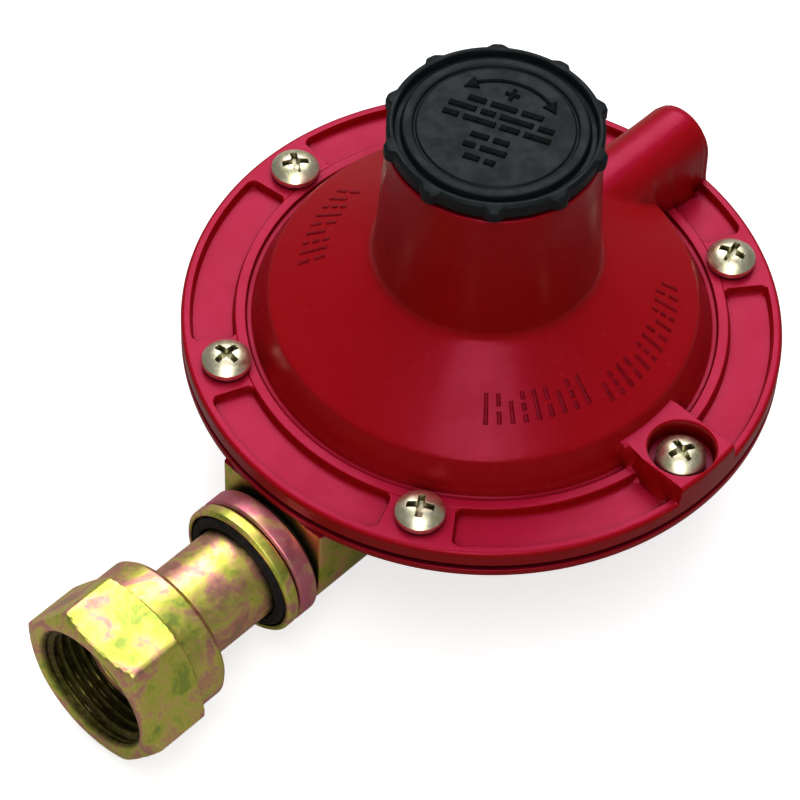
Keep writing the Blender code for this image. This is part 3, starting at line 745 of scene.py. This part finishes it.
def red_enamel(bare_boss=False):
    m = Mat("red_enamel_boss_look" if bare_boss else "red_enamel_look")
    up = m.up()
    # painted light: faces turned up get a lighter, pinker red, a painted sheen of the overhead softbox, and steep sides
    # get a darker red
    tone = m.mix(m.span(up, 0.0, 0.85), (0.31, 0.0034, 0.0008), (0.41, 0.006, 0.010))
    tone = m.mix(m.span(up, 0.84, 1.0), tone, (0.50, 0.011, 0.052))
    patch = m.noise(16, 3, 0.5)
    tone = m.mix(m.span(patch, 0.35, 0.75, 0.0, 0.22), tone, (0.40, 0.006, 0.006))
    fine = m.noise(1.1, 2, 0.6)
    tone = m.mix(m.span(fine, 0.62, 0.74, 0.0, 0.16), tone, (0.62, 0.05, 0.07))
    shade = m.span(m.ao(4.0), 0.25, 0.88, 0.90, 0.0)
    tone = m.mix(shade, tone, (0.07, 0.0010, 0.0005))
    speck = m.span(m.noise(0.55, 1, 0.3), 0.73, 0.78)
    tone = m.mix(m.math("MULTIPLY", speck, 0.35), tone, (0.12, 0.002, 0.002))
    rough = m.span(m.noise(7, 4, 0.6), 0.3, 0.7, 0.26, 0.40)
    peel = m.bump(m.noise(1.9, 2, 0.5), 0.030, 0.55)
    cast = m.bump(m.noise(6.5, 4, 0.6), 0.10, 0.35, peel)
    m.set(Base_Color=tone, Roughness=rough, Metallic=0.0, IOR=1.5, Coat_Weight=0.06, Coat_Roughness=0.14, Normal=cast, Coat_Normal=peel)
    m.set(Specular_Tint=(1.0, 0.16, 0.42))
    if bare_boss:
        # the inlet boss is masked when the casing is painted, so its plating shows
        sep = m.node("ShaderNodeSeparateXYZ")
        m.put(sep.inputs[0], m.coord)
        wave = m.math("MULTIPLY", m.math("SUBTRACT", m.noise(2.5, 3, 0.6), 0.5), 0.0012)
        x = m.math("ADD", sep.outputs[0], wave)
        side = m.span(m.math("ABSOLUTE", sep.outputs[1]), 0.0120, 0.0123, 1.0, 0.0)
        low = m.span(m.math("ADD", sep.outputs[2], wave), 0.0280, 0.0282, 1.0, 0.0)
        mask = m.math("MULTIPLY", m.math("MULTIPLY", m.span(x, -0.0372, -0.0368, 1.0, 0.0), side), low)
        cloud = m.noise(4.0, 4, 0.62, distortion=0.8)
        plate = m.ramp(m.span(cloud, 0.3, 0.72, 0.0, 1.0, "LINEAR"), [(0.0, (0.42, 0.50, 0.07)), (0.4, (0.68, 0.66, 0.12)), (0.7, (0.86, 0.56, 0.24)), (1.0, (0.80, 0.42, 0.26))])
        plate = m.mix(m.span(m.ao(3.0), 0.15, 0.75, 0.75, 0.0), plate, (0.05, 0.04, 0.006))
        both = m.mix(mask, tone, plate)
        m.set(Base_Color=both, Metallic=mask, Specular_Tint=m.mix(mask, (1.0, 0.16, 0.42), (1.0, 1.0, 1.0)), Coat_Weight=m.span(mask, 0.0, 1.0, 0.06, 0.0))
    return m.mat


def red_mark():
    m = Mat("red_mark_look")
    # painted shade: a darker red than the enamel, standing for the shading of the raised marks, which share the enamel
    # finish
    tone = m.mix(m.span(m.noise(1.4, 3, 0.6), 0.3, 0.7), (0.20, 0.0025, 0.004), (0.29, 0.005, 0.012))
    m.set(Base_Color=tone, Roughness=m.span(m.noise(2, 3, 0.6), 0.3, 0.7, 0.30, 0.45), Normal=m.bump(m.noise(1.2, 2, 0.5), 0.02, 0.5), Specular_Tint=(1.0, 0.16, 0.42))
    return m.mat


def zinc_yellow(name="zinc_yellow", pink=0.0, grain=0.5, bore=False):
    """Yellow-passivated zinc: the film runs from straw and green to peach and pink. The pink setting pushes the tone
    further to pink, a painted reflection of the red casing.
    """
    m = Mat(name + "_look")
    cloud = m.noise(6.0, 4, 0.60, distortion=0.8)
    fine = m.noise(0.9, 3, 0.65)
    both = m.math("ADD", m.math("MULTIPLY", cloud, 0.84), m.math("MULTIPLY", fine, 0.16))
    # the tone moves along the ramp with the viewing angle; the pink setting moves it further to pink, a painted
    # reflection of the red casing
    both = m.math("ADD", both, m.span(m.facing(0.35), 0.0, 1.0, -0.04 + pink * 0.2, 0.10 + pink * 0.2, "LINEAR"))
    tone = m.ramp(
        m.span(both, 0.35, 0.69, 0.0, 1.0, "LINEAR"),
        [(0.0, (0.50, 0.62, 0.15)), (0.24, (0.78, 0.80, 0.17)), (0.46, (0.92, 0.80, 0.26)), (0.64, (0.92, 0.62, 0.34)), (0.82, (0.90, 0.44, 0.40)), (1.0, (0.90, 0.32, 0.40) if pink > 0.6 else (0.66, 0.52, 0.26))],
    )
    dull = m.span(m.noise(2.1, 5, 0.7), 0.58, 0.76, 0.0, 0.32)
    tone = m.mix(dull, tone, (0.40, 0.40, 0.10))
    shade = m.span(m.ao(2.2), 0.2, 0.9, 0.8, 0.0)
    tone = m.mix(shade, tone, (0.10, 0.085, 0.018))
    if bore:
        # painted shade inside the nut's thread
        sep = m.node("ShaderNodeSeparateXYZ")
        m.put(sep.inputs[0], m.coord)
        y, z = sep.outputs[1], m.math("SUBTRACT", sep.outputs[2], 0.016)
        r = m.math("SQRT", m.math("ADD", m.math("MULTIPLY", y, y), m.math("MULTIPLY", z, z)))
        inside = m.math("MULTIPLY", m.span(r, 0.0110, 0.0118, 1.0, 0.0), m.span(m.noise(1.2, 3, 0.6), 0.3, 0.7, 0.80, 0.95))
        tone = m.mix(inside, tone, (0.085, 0.075, 0.022))
    rough = m.span(m.noise(1.6, 4, 0.7), 0.3, 0.75, 0.36, 0.56)
    # fine turned lines run round the inlet's axis
    sep = m.node("ShaderNodeSeparateXYZ")
    m.put(sep.inputs[0], m.coord)
    comb = m.node("ShaderNodeCombineXYZ")
    m.put(comb.inputs[0], m.math("MULTIPLY", sep.outputs[0], 9.0))
    m.put(comb.inputs[1], m.math("MULTIPLY", sep.outputs[1], 0.6))
    m.put(comb.inputs[2], m.math("MULTIPLY", sep.outputs[2], 0.6))
    turned = m.bump(m.noise(1.0, 2, 0.5, comb.outputs[0]), 0.012, grain)
    dent = m.bump(m.noise(1.4, 3, 0.6), 0.020, 0.35, turned)
    m.set(Base_Color=tone, Roughness=rough, Metallic=1.0, Normal=dent)
    return m.mat


def screw_zinc():
    m = Mat("screw_zinc_look")
    cloud = m.noise(1.6, 3, 0.6)
    tone = m.ramp(m.span(cloud, 0.34, 0.72, 0.0, 1.0, "LINEAR"), [(0.0, (0.84, 0.84, 0.52)), (0.4, (0.96, 0.93, 0.70)), (0.75, (0.98, 0.90, 0.70)), (1.0, (0.90, 0.78, 0.58))])
    shade = m.span(m.ao(1.3), 0.25, 0.9, 0.93, 0.0)
    tone = m.mix(shade, tone, (0.055, 0.05, 0.008))
    m.set(Base_Color=tone, Roughness=m.span(m.noise(0.6, 3, 0.6), 0.3, 0.7, 0.30, 0.44), Metallic=1.0, Normal=m.bump(m.noise(0.45, 2, 0.5), 0.004, 0.35))
    return m.mat


def black_plastic():
    m = Mat("black_plastic_look")
    tone = m.mix(m.span(m.noise(9, 3, 0.6), 0.3, 0.7), (0.009, 0.014, 0.016), (0.013, 0.019, 0.021))
    shade = m.span(m.ao(1.6), 0.3, 0.95, 0.75, 0.0)
    tone = m.mix(shade, tone, (0.006, 0.008, 0.009))
    scuff = m.span(m.noise(0.7, 4, 0.7), 0.63, 0.75, 0.0, 0.25)
    tone = m.mix(scuff, tone, (0.036, 0.042, 0.043))
    grain = m.bump(m.noise(0.32, 2, 0.6), 0.012, 0.55)
    m.set(Base_Color=tone, Roughness=m.span(m.noise(3, 3, 0.6), 0.3, 0.7, 0.42, 0.58), Normal=grain, IOR=1.5, Specular_IOR_Level=0.24)
    return m.mat


def painted_shade_mark():
    m = Mat("cap_mark_look")
    # painted shade: the raised marks get a darker black than the cap, standing for the shading along raised lettering
    tone = m.mix(m.span(m.noise(1.4, 3, 0.6), 0.3, 0.7), (0.0025, 0.0035, 0.004), (0.006, 0.008, 0.009))
    m.set(Base_Color=tone, Roughness=m.span(m.noise(0.8, 3, 0.6), 0.3, 0.7, 0.55, 0.75), Normal=m.bump(m.noise(0.3, 2, 0.5), 0.006, 0.4), Specular_IOR_Level=0.12)
    return m.mat


def rubber():
    m = Mat("black_rubber_look")
    tone = m.mix(m.span(m.noise(1.2, 4, 0.6), 0.35, 0.7), (0.008, 0.008, 0.008), (0.022, 0.021, 0.020))
    m.set(Base_Color=tone, Roughness=m.span(m.noise(0.8, 3, 0.6), 0.3, 0.7, 0.62, 0.85), Normal=m.bump(m.noise(0.25, 3, 0.6), 0.010, 0.6))
    return m.mat


def metal(name, low, high, rough_lo, rough_hi, cloud_mm, grain_mm, dark):
    m = Mat(name + "_look")
    tone = m.mix(m.span(m.noise(cloud_mm, 4, 0.6), 0.3, 0.72), low, high)
    tone = m.mix(m.span(m.ao(1.6), 0.2, 0.9, 0.6, 0.0), tone, dark)
    m.set(Base_Color=tone, Roughness=m.span(m.noise(grain_mm * 3, 4, 0.65), 0.3, 0.72, rough_lo, rough_hi), Metallic=1.0, Normal=m.bump(m.noise(grain_mm, 3, 0.6), 0.008, 0.5))
    return m.mat


def nylon():
    m = Mat("white_nylon_look")
    tone = m.mix(m.span(m.noise(2.5, 3, 0.6), 0.35, 0.7), (0.74, 0.73, 0.66), (0.83, 0.82, 0.77))
    tone = m.mix(m.span(m.ao(1.5), 0.2, 0.9, 0.6, 0.0), tone, (0.25, 0.22, 0.14))
    m.set(Base_Color=tone, Roughness=m.span(m.noise(0.9, 3, 0.6), 0.3, 0.7, 0.40, 0.55), Normal=m.bump(m.noise(0.5, 2, 0.5), 0.008, 0.4), Subsurface_Weight=0.12)
    return m.mat


def sinter():
    m = Mat("bronze_sinter_look")
    cells = m.node("ShaderNodeTexVoronoi", Scale=1000 / 0.34)
    m.put(cells.inputs["Vector"], m.coord)
    tone = m.mix(m.span(cells.outputs["Distance"], 0.15, 0.7), (0.62, 0.38, 0.17), (0.10, 0.055, 0.02))
    m.set(Base_Color=tone, Roughness=m.span(m.noise(0.5, 2, 0.6), 0.3, 0.7, 0.4, 0.6), Metallic=1.0, Normal=m.bump(m.math("SUBTRACT", 1.0, cells.outputs["Distance"]), 0.09, 1.0))
    return m.mat


LOOKS = {
    "red_enamel": red_enamel(),
    "red_enamel_boss": red_enamel(True),
    "red_mark": red_mark(),
    "zinc_yellow": zinc_yellow(),
    # painted reflection: this variant is pushed to pink for the red casing reflected in the adapter collar
    "zinc_red_reflection": zinc_yellow("zinc_red_reflection", 1.0),
    "zinc_peach": zinc_yellow("zinc_peach", 0.35),
    "zinc_nut": zinc_yellow("zinc_nut", 0.1, bore=True),
    "screw_zinc": screw_zinc(),
    "black_plastic": black_plastic(),
    "black_rubber": rubber(),
    "cap_mark": painted_shade_mark(),
    "steel": metal("steel", (0.40, 0.41, 0.42), (0.58, 0.585, 0.59), 0.24, 0.42, 6, 0.5, (0.09, 0.085, 0.08)),
    "spring_steel": metal("spring_steel", (0.24, 0.25, 0.27), (0.42, 0.42, 0.43), 0.26, 0.45, 4, 0.4, (0.05, 0.05, 0.05)),
    "brass": metal("brass", (0.66, 0.44, 0.15), (0.80, 0.60, 0.28), 0.20, 0.38, 5, 0.45, (0.16, 0.09, 0.02)),
    "aluminium": metal("aluminium", (0.62, 0.63, 0.65), (0.78, 0.79, 0.80), 0.25, 0.42, 7, 0.5, (0.2, 0.2, 0.21)),
    "white_nylon": nylon(),
    "bronze_sinter": sinter(),
}


def dress(obj, look, body, *nodes):
    obj.data.materials.clear()
    obj.data.materials.append(LOOKS[look])
    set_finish(obj, look)
    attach(obj, body)
    if nodes:
        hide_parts(*nodes)
    return obj


# ------------------------------------------------------------------ the pieces
dress(build_cover(), "red_enamel", "casing", "upper_cover")
body_piece = dress(finish_body(build_body()), "red_enamel_boss", "casing", "lower_body")
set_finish(body_piece, "red_enamel")
dress(build_union_nut(), "zinc_nut", "union_nut", "union_nut")["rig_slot"] = "zinc_yellow"
dress(build_adapter(), "zinc_red_reflection", "casing", "inlet_adapter")["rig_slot"] = "zinc_yellow"
dress(build_cap(), "black_plastic", "tower_cap", "tower_cap")

for n, a in enumerate(SCREW_ANGLES):
    look = build_screw(f"pan_head_screw_{n + 1}", polar(PCD_R, a), math.radians(20 + 35 * n), 34.3)
    dress(look, "screw_zinc", "casing", f"cover_screw_{n + 1}")

INLET = {"axis": "-X", "at": (0, 0, INLET_Z)}
dress(
    lathe("gland_ring_turned", [(11.45, 57.0, 0.12), (11.9, 56.55, 0.2), (11.9, 54.95, 0.2), (11.6, 54.6, 0.1), (8.75, 54.6, 0.1), (8.75, 55.6, 0.1), (10.9, 55.6, 0.15), (10.9, 56.85, 0.12), (11.05, 57.0, 0.05)], 180, **INLET),
    "zinc_yellow", "casing", "gland_ring",
)
dress(
    lathe("stem_seal", [(9.9, 57.45, 0.35), (10.55, 56.9, 0.35), (10.55, 55.9, 0.15), (8.75, 55.9, 0.15), (8.75, 57.45, 0.35)], 144, step=0.4, **INLET),
    "black_rubber", "casing", "stem_seal_ring",
)
dress(
    lathe(
        "tailpiece_turned",
        [
            (5.6, 84.2, 0.15), (6.2, 83.6, 0.3), (6.2, 80.55, 0.0), (6.0, 80.4, 0.1), (6.0, 80.2, 0.1), (9.5, 80.2, 0.25), (9.9, 79.8, 0.25), (9.9, 76.6, 0.2), (9.5, 75.95, 0.3), (8.7, 75.9, 0.3), (8.4, 75.5, 0.2),
            (8.4, 55.5, 0.25), (6.8, 54.9, 0.3), (6.8, 44.6, 0.3), (3.4, 44.6, 0.2), (3.4, 78.6, 0.0), (4.2, 78.6, 0.0), (4.2, 84.0, 0.1), (4.4, 84.2, 0.1),
        ],
        180, step=1.6, **INLET,
    ),
    "zinc_peach", "casing", "inlet_tailpiece",
)["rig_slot"] = "zinc_yellow"
dress(lathe("filter_plug", [(0.4, 83.35, 0), (3.5, 83.35, 0.3), (3.85, 83.0, 0.2), (3.85, 79.1, 0.1), (0.4, 79.0, 0)], 64, ring=False, step=0.35, **INLET), "bronze_sinter", "casing", "inlet_filter")
dress(lathe("nose_seal", [(9.6, 82.45, 0.25), (9.6, 80.5, 0.25), (6.55, 80.5, 0.2), (6.55, 82.45, 0.25)], 128, step=0.6, **INLET), "white_nylon", "casing", "nose_washer")
dress(lathe("adapter_seal", [(10.4, 50.0, 0.2), (10.4, 49.5, 0.2), (8.35, 49.5, 0.1), (8.35, 50.0, 0.1)], 144, step=0.6, **INLET), "black_rubber", "casing", "adapter_gasket")

membrane = lathe(
    "diaphragm_sheet",
    [
        (49.3, 30.7, 0.2), (49.3, 30.1, 0.2), (37.2, 30.1, 0.6), (34.9, 27.3, 1.5), (31.4, 26.2, 2.5), (28.0, 27.4, 1.5), (26.2, 28.2, 0.6), (3.4, 28.2, 0.1),
        (3.4, 28.8, 0.1), (26.6, 28.8, 0.6), (28.6, 27.95, 1.5), (31.4, 26.8, 2.5), (34.4, 27.9, 1.5), (36.8, 30.7, 0.6),
    ],
    180, step=1.2,
)
dress(membrane, "black_rubber", "casing", "diaphragm")
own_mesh(membrane)
dress(
    lathe("pressed_plate_top", [(24.4, 31.0, 0.1), (25.0, 31.0, 0.15), (25.0, 29.9, 0.5), (24.0, 29.1, 0.4), (3.4, 29.1, 0.1), (3.4, 30.1, 0.1), (23.4, 30.1, 0.4)], 120, step=1.5),
    "aluminium", "diaphragm_stack", "diaphragm_plate_top",
)
dress(lathe("pressed_plate_bottom", [(22.4, 27.9, 0.2), (23.0, 27.4, 0.2), (23.0, 26.9, 0.2), (3.4, 26.9, 0.1), (3.4, 27.9, 0.1)], 120, step=1.5), "aluminium", "diaphragm_stack", "diaphragm_plate_bottom")

for name, first, last, ends, span in (
    ("spring_coil_lower", 0.0, 2.5, ("diaphragm_stack", "casing"), (0.0314, 0.0457)),
    ("spring_coil_upper", 2.5, 5.0, ("casing", "spring_seat"), (0.0457, 0.0600)),
):
    coil = build_spring(name, first, last)
    coil.data.materials.append(LOOKS["spring_steel"])
    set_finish(coil, "spring_steel")
    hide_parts("main_spring")
    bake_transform(coil)
dress(
    lathe("spring_button", [(2.6, 62.35, 0.1), (5.0, 62.35, 0.2), (5.0, 61.9, 0.1), (12.8, 61.9, 0.3), (12.8, 60.3, 0.3), (8.2, 60.3, 0.1), (8.2, 58.65, 0.3), (7.0, 58.65, 0.2), (2.6, 60.6, 0.2)], 96),
    "steel", "spring_seat", "spring_seat_top",
)
dress(lathe("cap_gasket", [(16.6, 76.8, 0.2), (16.6, 76.3, 0.2), (14.4, 76.3, 0.2), (14.4, 76.8, 0.2)], 120, step=0.5), "black_rubber", "cap_lift", "cap_seal")


def build_adjuster():
    th = np.radians(np.arange(0, 360, 3.0))
    rows = round_rows(th, fillet_path([(0.4, 64.5), (5.9, 64.5)], 2, 20))
    hexa = smin(hex_radius(th, 11.4, 0.0), np.full_like(th, 6.45), 0.2)
    rows += [np.stack([hexa * np.cos(th), hexa * np.sin(th), np.full_like(th, z)], -1) for z in (64.5, 66.0, 67.6, 68.1)]
    rows += [np.stack([(hexa + 0.35) * np.cos(th), (hexa + 0.35) * np.sin(th), np.full_like(th, 68.4)], -1)]
    rows += round_rows(th, [(8.0, 68.4), (10.5, 68.4), (12.7, 68.4), (13.0, 68.2)])
    for z in np.arange(68.0, 62.6, -0.15):
        ph = ((z - 62.4) / 1.5 - th / (2 * math.pi)) % 1.0
        ease = smooth(z, 62.6, 63.3) * (1 - smooth(z, 67.3, 68.0))
        rad = 13.6 - 0.75 * np.clip(np.abs(ph * 2 - 1) * 1.3 - 0.15, 0, 1) * ease - 0.5 * (1 - ease)
        rows.append(np.stack([rad * np.cos(th), rad * np.sin(th), np.full_like(th, z)], -1))
    rows += round_rows(th, [(12.7, 62.3), (12.4, 62.2), (5.6, 62.2), (5.3, 62.8), (0.4, 62.8)])
    return finish_shade(grid_solid("adjusting_plug", np.array(rows), False), 35)


dress(build_adjuster(), "brass", "adjusting_screw", "adjusting_screw")

ring = lathe("vent_clip", [(3.2, 50.0, 0.1), (3.95, 50.0, 0.1), (3.95, 48.9, 0.1), (3.2, 48.9, 0.1)], 64, step=0.5, axis="+X", at=(0, 0, SPOUT_Z))
dress(ring, "black_plastic", "casing", "vent_ring")


def build_gauze():
    """A gauze disc: a grid of small holes inside a thin rim."""
    th = np.radians(np.arange(0, 360, 5.0))
    disc = quick_lathe([(0, 48.05), (3.95, 48.05), (3.95, 48.5), (0, 48.5)], 72, "+X", (0, 0, SPOUT_Z))
    cutters = []
    for i in range(-4, 5):
        for j in range(-4, 5):
            y, z = i * 0.74, j * 0.74
            if math.hypot(y, z) < 3.2:
                cutters.append(quick_lathe([(0, 47.0), (0.26, 47.0), (0.26, 50.0), (0, 50.0)], 8, "+X", (0, y, SPOUT_Z + z)))
    boolean(disc, cutters)
    disc.name = "vent_gauze"
    return finish_shade(disc, 35)


dress(build_gauze(), "steel", "casing", "vent_screen")

# raised marks on the cone: scale ticks, with no lettering
def tick_row(half, tall, pitch=1.95, seed=0):
    """A row of scale ticks: full, split and short ones, drawn across the row."""
    out = []
    for k, u in enumerate(np.arange(-half, half + 0.01, pitch)):
        kind = (k * 5 + seed) % 4
        if kind == 0:
            out.append(bar(u, 0, 0.85, tall))
        elif kind == 1:
            out += [bar(u, tall * 0.28, 0.85, tall * 0.42), bar(u, -tall * 0.28, 0.85, tall * 0.42)]
        elif kind == 2:
            out.append(bar(u, -tall * 0.12, 0.85, tall * 0.72))
        else:
            out += [bar(u, tall * 0.36, 0.85, tall * 0.26), bar(u, 0.0, 0.85, tall * 0.26), bar(u, -tall * 0.36, 0.85, tall * 0.26)]
    return out


marks = [
    raised("scale_marks_front", tick_row(8.2, 5.2, 2.05, 0), on_cone(240, 28.2), 0.42),
    raised("scale_marks_right", tick_row(13.6, 4.6, 2.1, 2) , on_cone(290, 29.8), 0.42),
    raised("scale_marks_left", tick_row(9.2, 5.4, 2.05, 1), on_cone(114.5, 28.4), 0.42),
]
for mark in marks:
    dress(mark, "red_mark", "casing")
    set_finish(mark, "red_enamel")


def on_cap(turn):
    c, s = math.cos(math.radians(turn)), math.sin(math.radians(turn))
    return lambda u, v, h: (u * c - v * s, u * s + v * c, 79.2 + h)


CAP_TURN = -67.7
arc = arc_band(9.9, 52, 128, 0.6)
head = [polar(9.9 + 1.35, 52), polar(9.9 - 1.35, 52), polar(9.9, 38)]
tail = [polar(9.9 + 1.35, 128), polar(9.9 - 1.35, 128), polar(9.9, 142)]
dashes = []
for v, lens in ((4.3, (3.0, 4.4, 3.6)), (2.2, (4.6, 2.4, 5.6, 2.6)), (0.1, (2.6, 5.4, 3.2, 4.4)), (-2.9, (3.0, 2.6)), (-5.2, (2.0, 4.4)), (-7.6, (2.6, 1.8))):
    total = sum(lens) + 0.8 * (len(lens) - 1)
    u = -total / 2
    for length in lens:
        dashes.append(bar(u + length / 2, v, length, 1.1))
        u += length + 0.8
plus = [(-0.35, 8.6), (0.35, 8.6), (0.35, 7.7), (1.2, 7.7), (1.2, 7.0), (0.35, 7.0), (0.35, 6.1), (-0.35, 6.1), (-0.35, 7.0), (-1.2, 7.0), (-1.2, 7.7), (-0.35, 7.7)]
symbols = raised("cap_turn_marks", [arc, head, tail, plus] + dashes, on_cap(CAP_TURN), 0.26, 0.15, 0.12)
dress(symbols, "cap_mark", "tower_cap")
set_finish(symbols, "black_plastic")

# CAD nodes that keep their own shape get their finish here
KEPT = {
    "lever_bracket": "steel", "lever_pin": "steel", "valve_lever": "steel", "stem_nut": "steel", "bracket_screw_1": "steel", "bracket_screw_2": "steel",
    "diaphragm_stem": "brass", "valve_plunger": "brass", "inlet_nozzle": "brass", "valve_pad": "black_rubber",
}
for node, look in KEPT.items():
    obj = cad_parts[node]
    obj.data.materials.clear()
    obj.data.materials.append(LOOKS[look])

# ------------------------------------------------------------------ floor, light and camera
floor = mesh_object("floor", [(-6, -6, -0.0002), (6, -6, -0.0002), (6, 6, -0.0002), (-6, 6, -0.0002)], [[0, 1, 2, 3]])
fm = Mat("floor_look")
ray = fm.node("ShaderNodeLightPath").outputs["Is Camera Ray"]
pale = fm.mix(fm.span(fm.noise(40, 3, 0.6), 0.3, 0.7), (0.58, 0.58, 0.58), (0.62, 0.62, 0.62))
fm.set(Base_Color=fm.mix(ray, (0.42, 0.41, 0.39), pale), Roughness=0.6, Specular_IOR_Level=0.1, Emission_Color=(1.0, 1.0, 1.0), Emission_Strength=fm.math("MULTIPLY", ray, 0.70))
floor.data.materials.append(fm.mat)


def area(name, at, target, size, power, colour=(1, 1, 1), spread=180):
    light = bpy.data.lights.new(name, "AREA")
    light.shape = "RECTANGLE"
    light.size, light.size_y = size
    light.energy = power
    light.color = colour
    light.spread = math.radians(spread)
    obj = bpy.data.objects.new(name, light)
    bpy.context.scene.collection.objects.link(obj)
    obj.location = at
    obj.rotation_euler = (Vector(target) - Vector(at)).to_track_quat("-Z", "Y").to_euler()
    return obj


area("softbox_back", (0.62, 0.62, 1.05), (0, 0, 0.03), (1.1, 0.9), 10.4, (1.0, 0.97, 1.0))
area("softbox_front", (-0.85, -0.75, 1.05), (0, 0, 0.03), (0.6, 0.6), 5.2)
area("softbox_top", (-0.38, -0.36, 1.4), (0, 0, 0.03), (0.7, 0.7), 6.2)

world = bpy.data.worlds.new("studio")
bpy.context.scene.world = world
world.use_nodes = True
wn = world.node_tree
bg = wn.nodes["Background"]
path = wn.nodes.new("ShaderNodeLightPath")
geo = wn.nodes.new("ShaderNodeTexCoord")
sep = wn.nodes.new("ShaderNodeSeparateXYZ")
wn.links.new(geo.outputs["Generated"], sep.inputs[0])
grad = wn.nodes.new("ShaderNodeMapRange")
grad.inputs[1].default_value, grad.inputs[2].default_value = -0.1, 0.9
grad.inputs[3].default_value, grad.inputs[4].default_value = 0.17, 0.24
wn.links.new(sep.outputs[2], grad.inputs[0])
pick = wn.nodes.new("ShaderNodeMix")
wn.links.new(path.outputs["Is Camera Ray"], pick.inputs[0])
wn.links.new(grad.outputs[0], pick.inputs[2])
pick.inputs[3].default_value = 0.97
wn.links.new(pick.outputs[0], bg.inputs["Strength"])
bg.inputs["Color"].default_value = (1, 1, 1, 1)

cam_data = bpy.data.cameras.new("camera")
cam_data.lens = 166.2
cam_data.sensor_width = 36.0
cam_data.clip_start, cam_data.clip_end = 0.01, 20
cam = bpy.data.objects.new("camera", cam_data)
bpy.context.scene.collection.objects.link(cam)
right, upv, back = (0.69277, -0.72047, 0.03188), (0.54857, 0.55514, 0.62519), (-0.46812, -0.41562, 0.7798)
cam.matrix_world = Matrix(((right[0], upv[0], back[0], -0.3047), (right[1], upv[1], back[1], -0.2533), (right[2], upv[2], back[2], 0.5030), (0, 0, 0, 1)))
bpy.context.scene.camera = cam
bpy.context.scene.view_settings.view_transform = "Standard"
bpy.context.scene.view_settings.look = "None"
bpy.context.scene.view_settings.gamma = 0.84

bpy.context.view_layer.update()
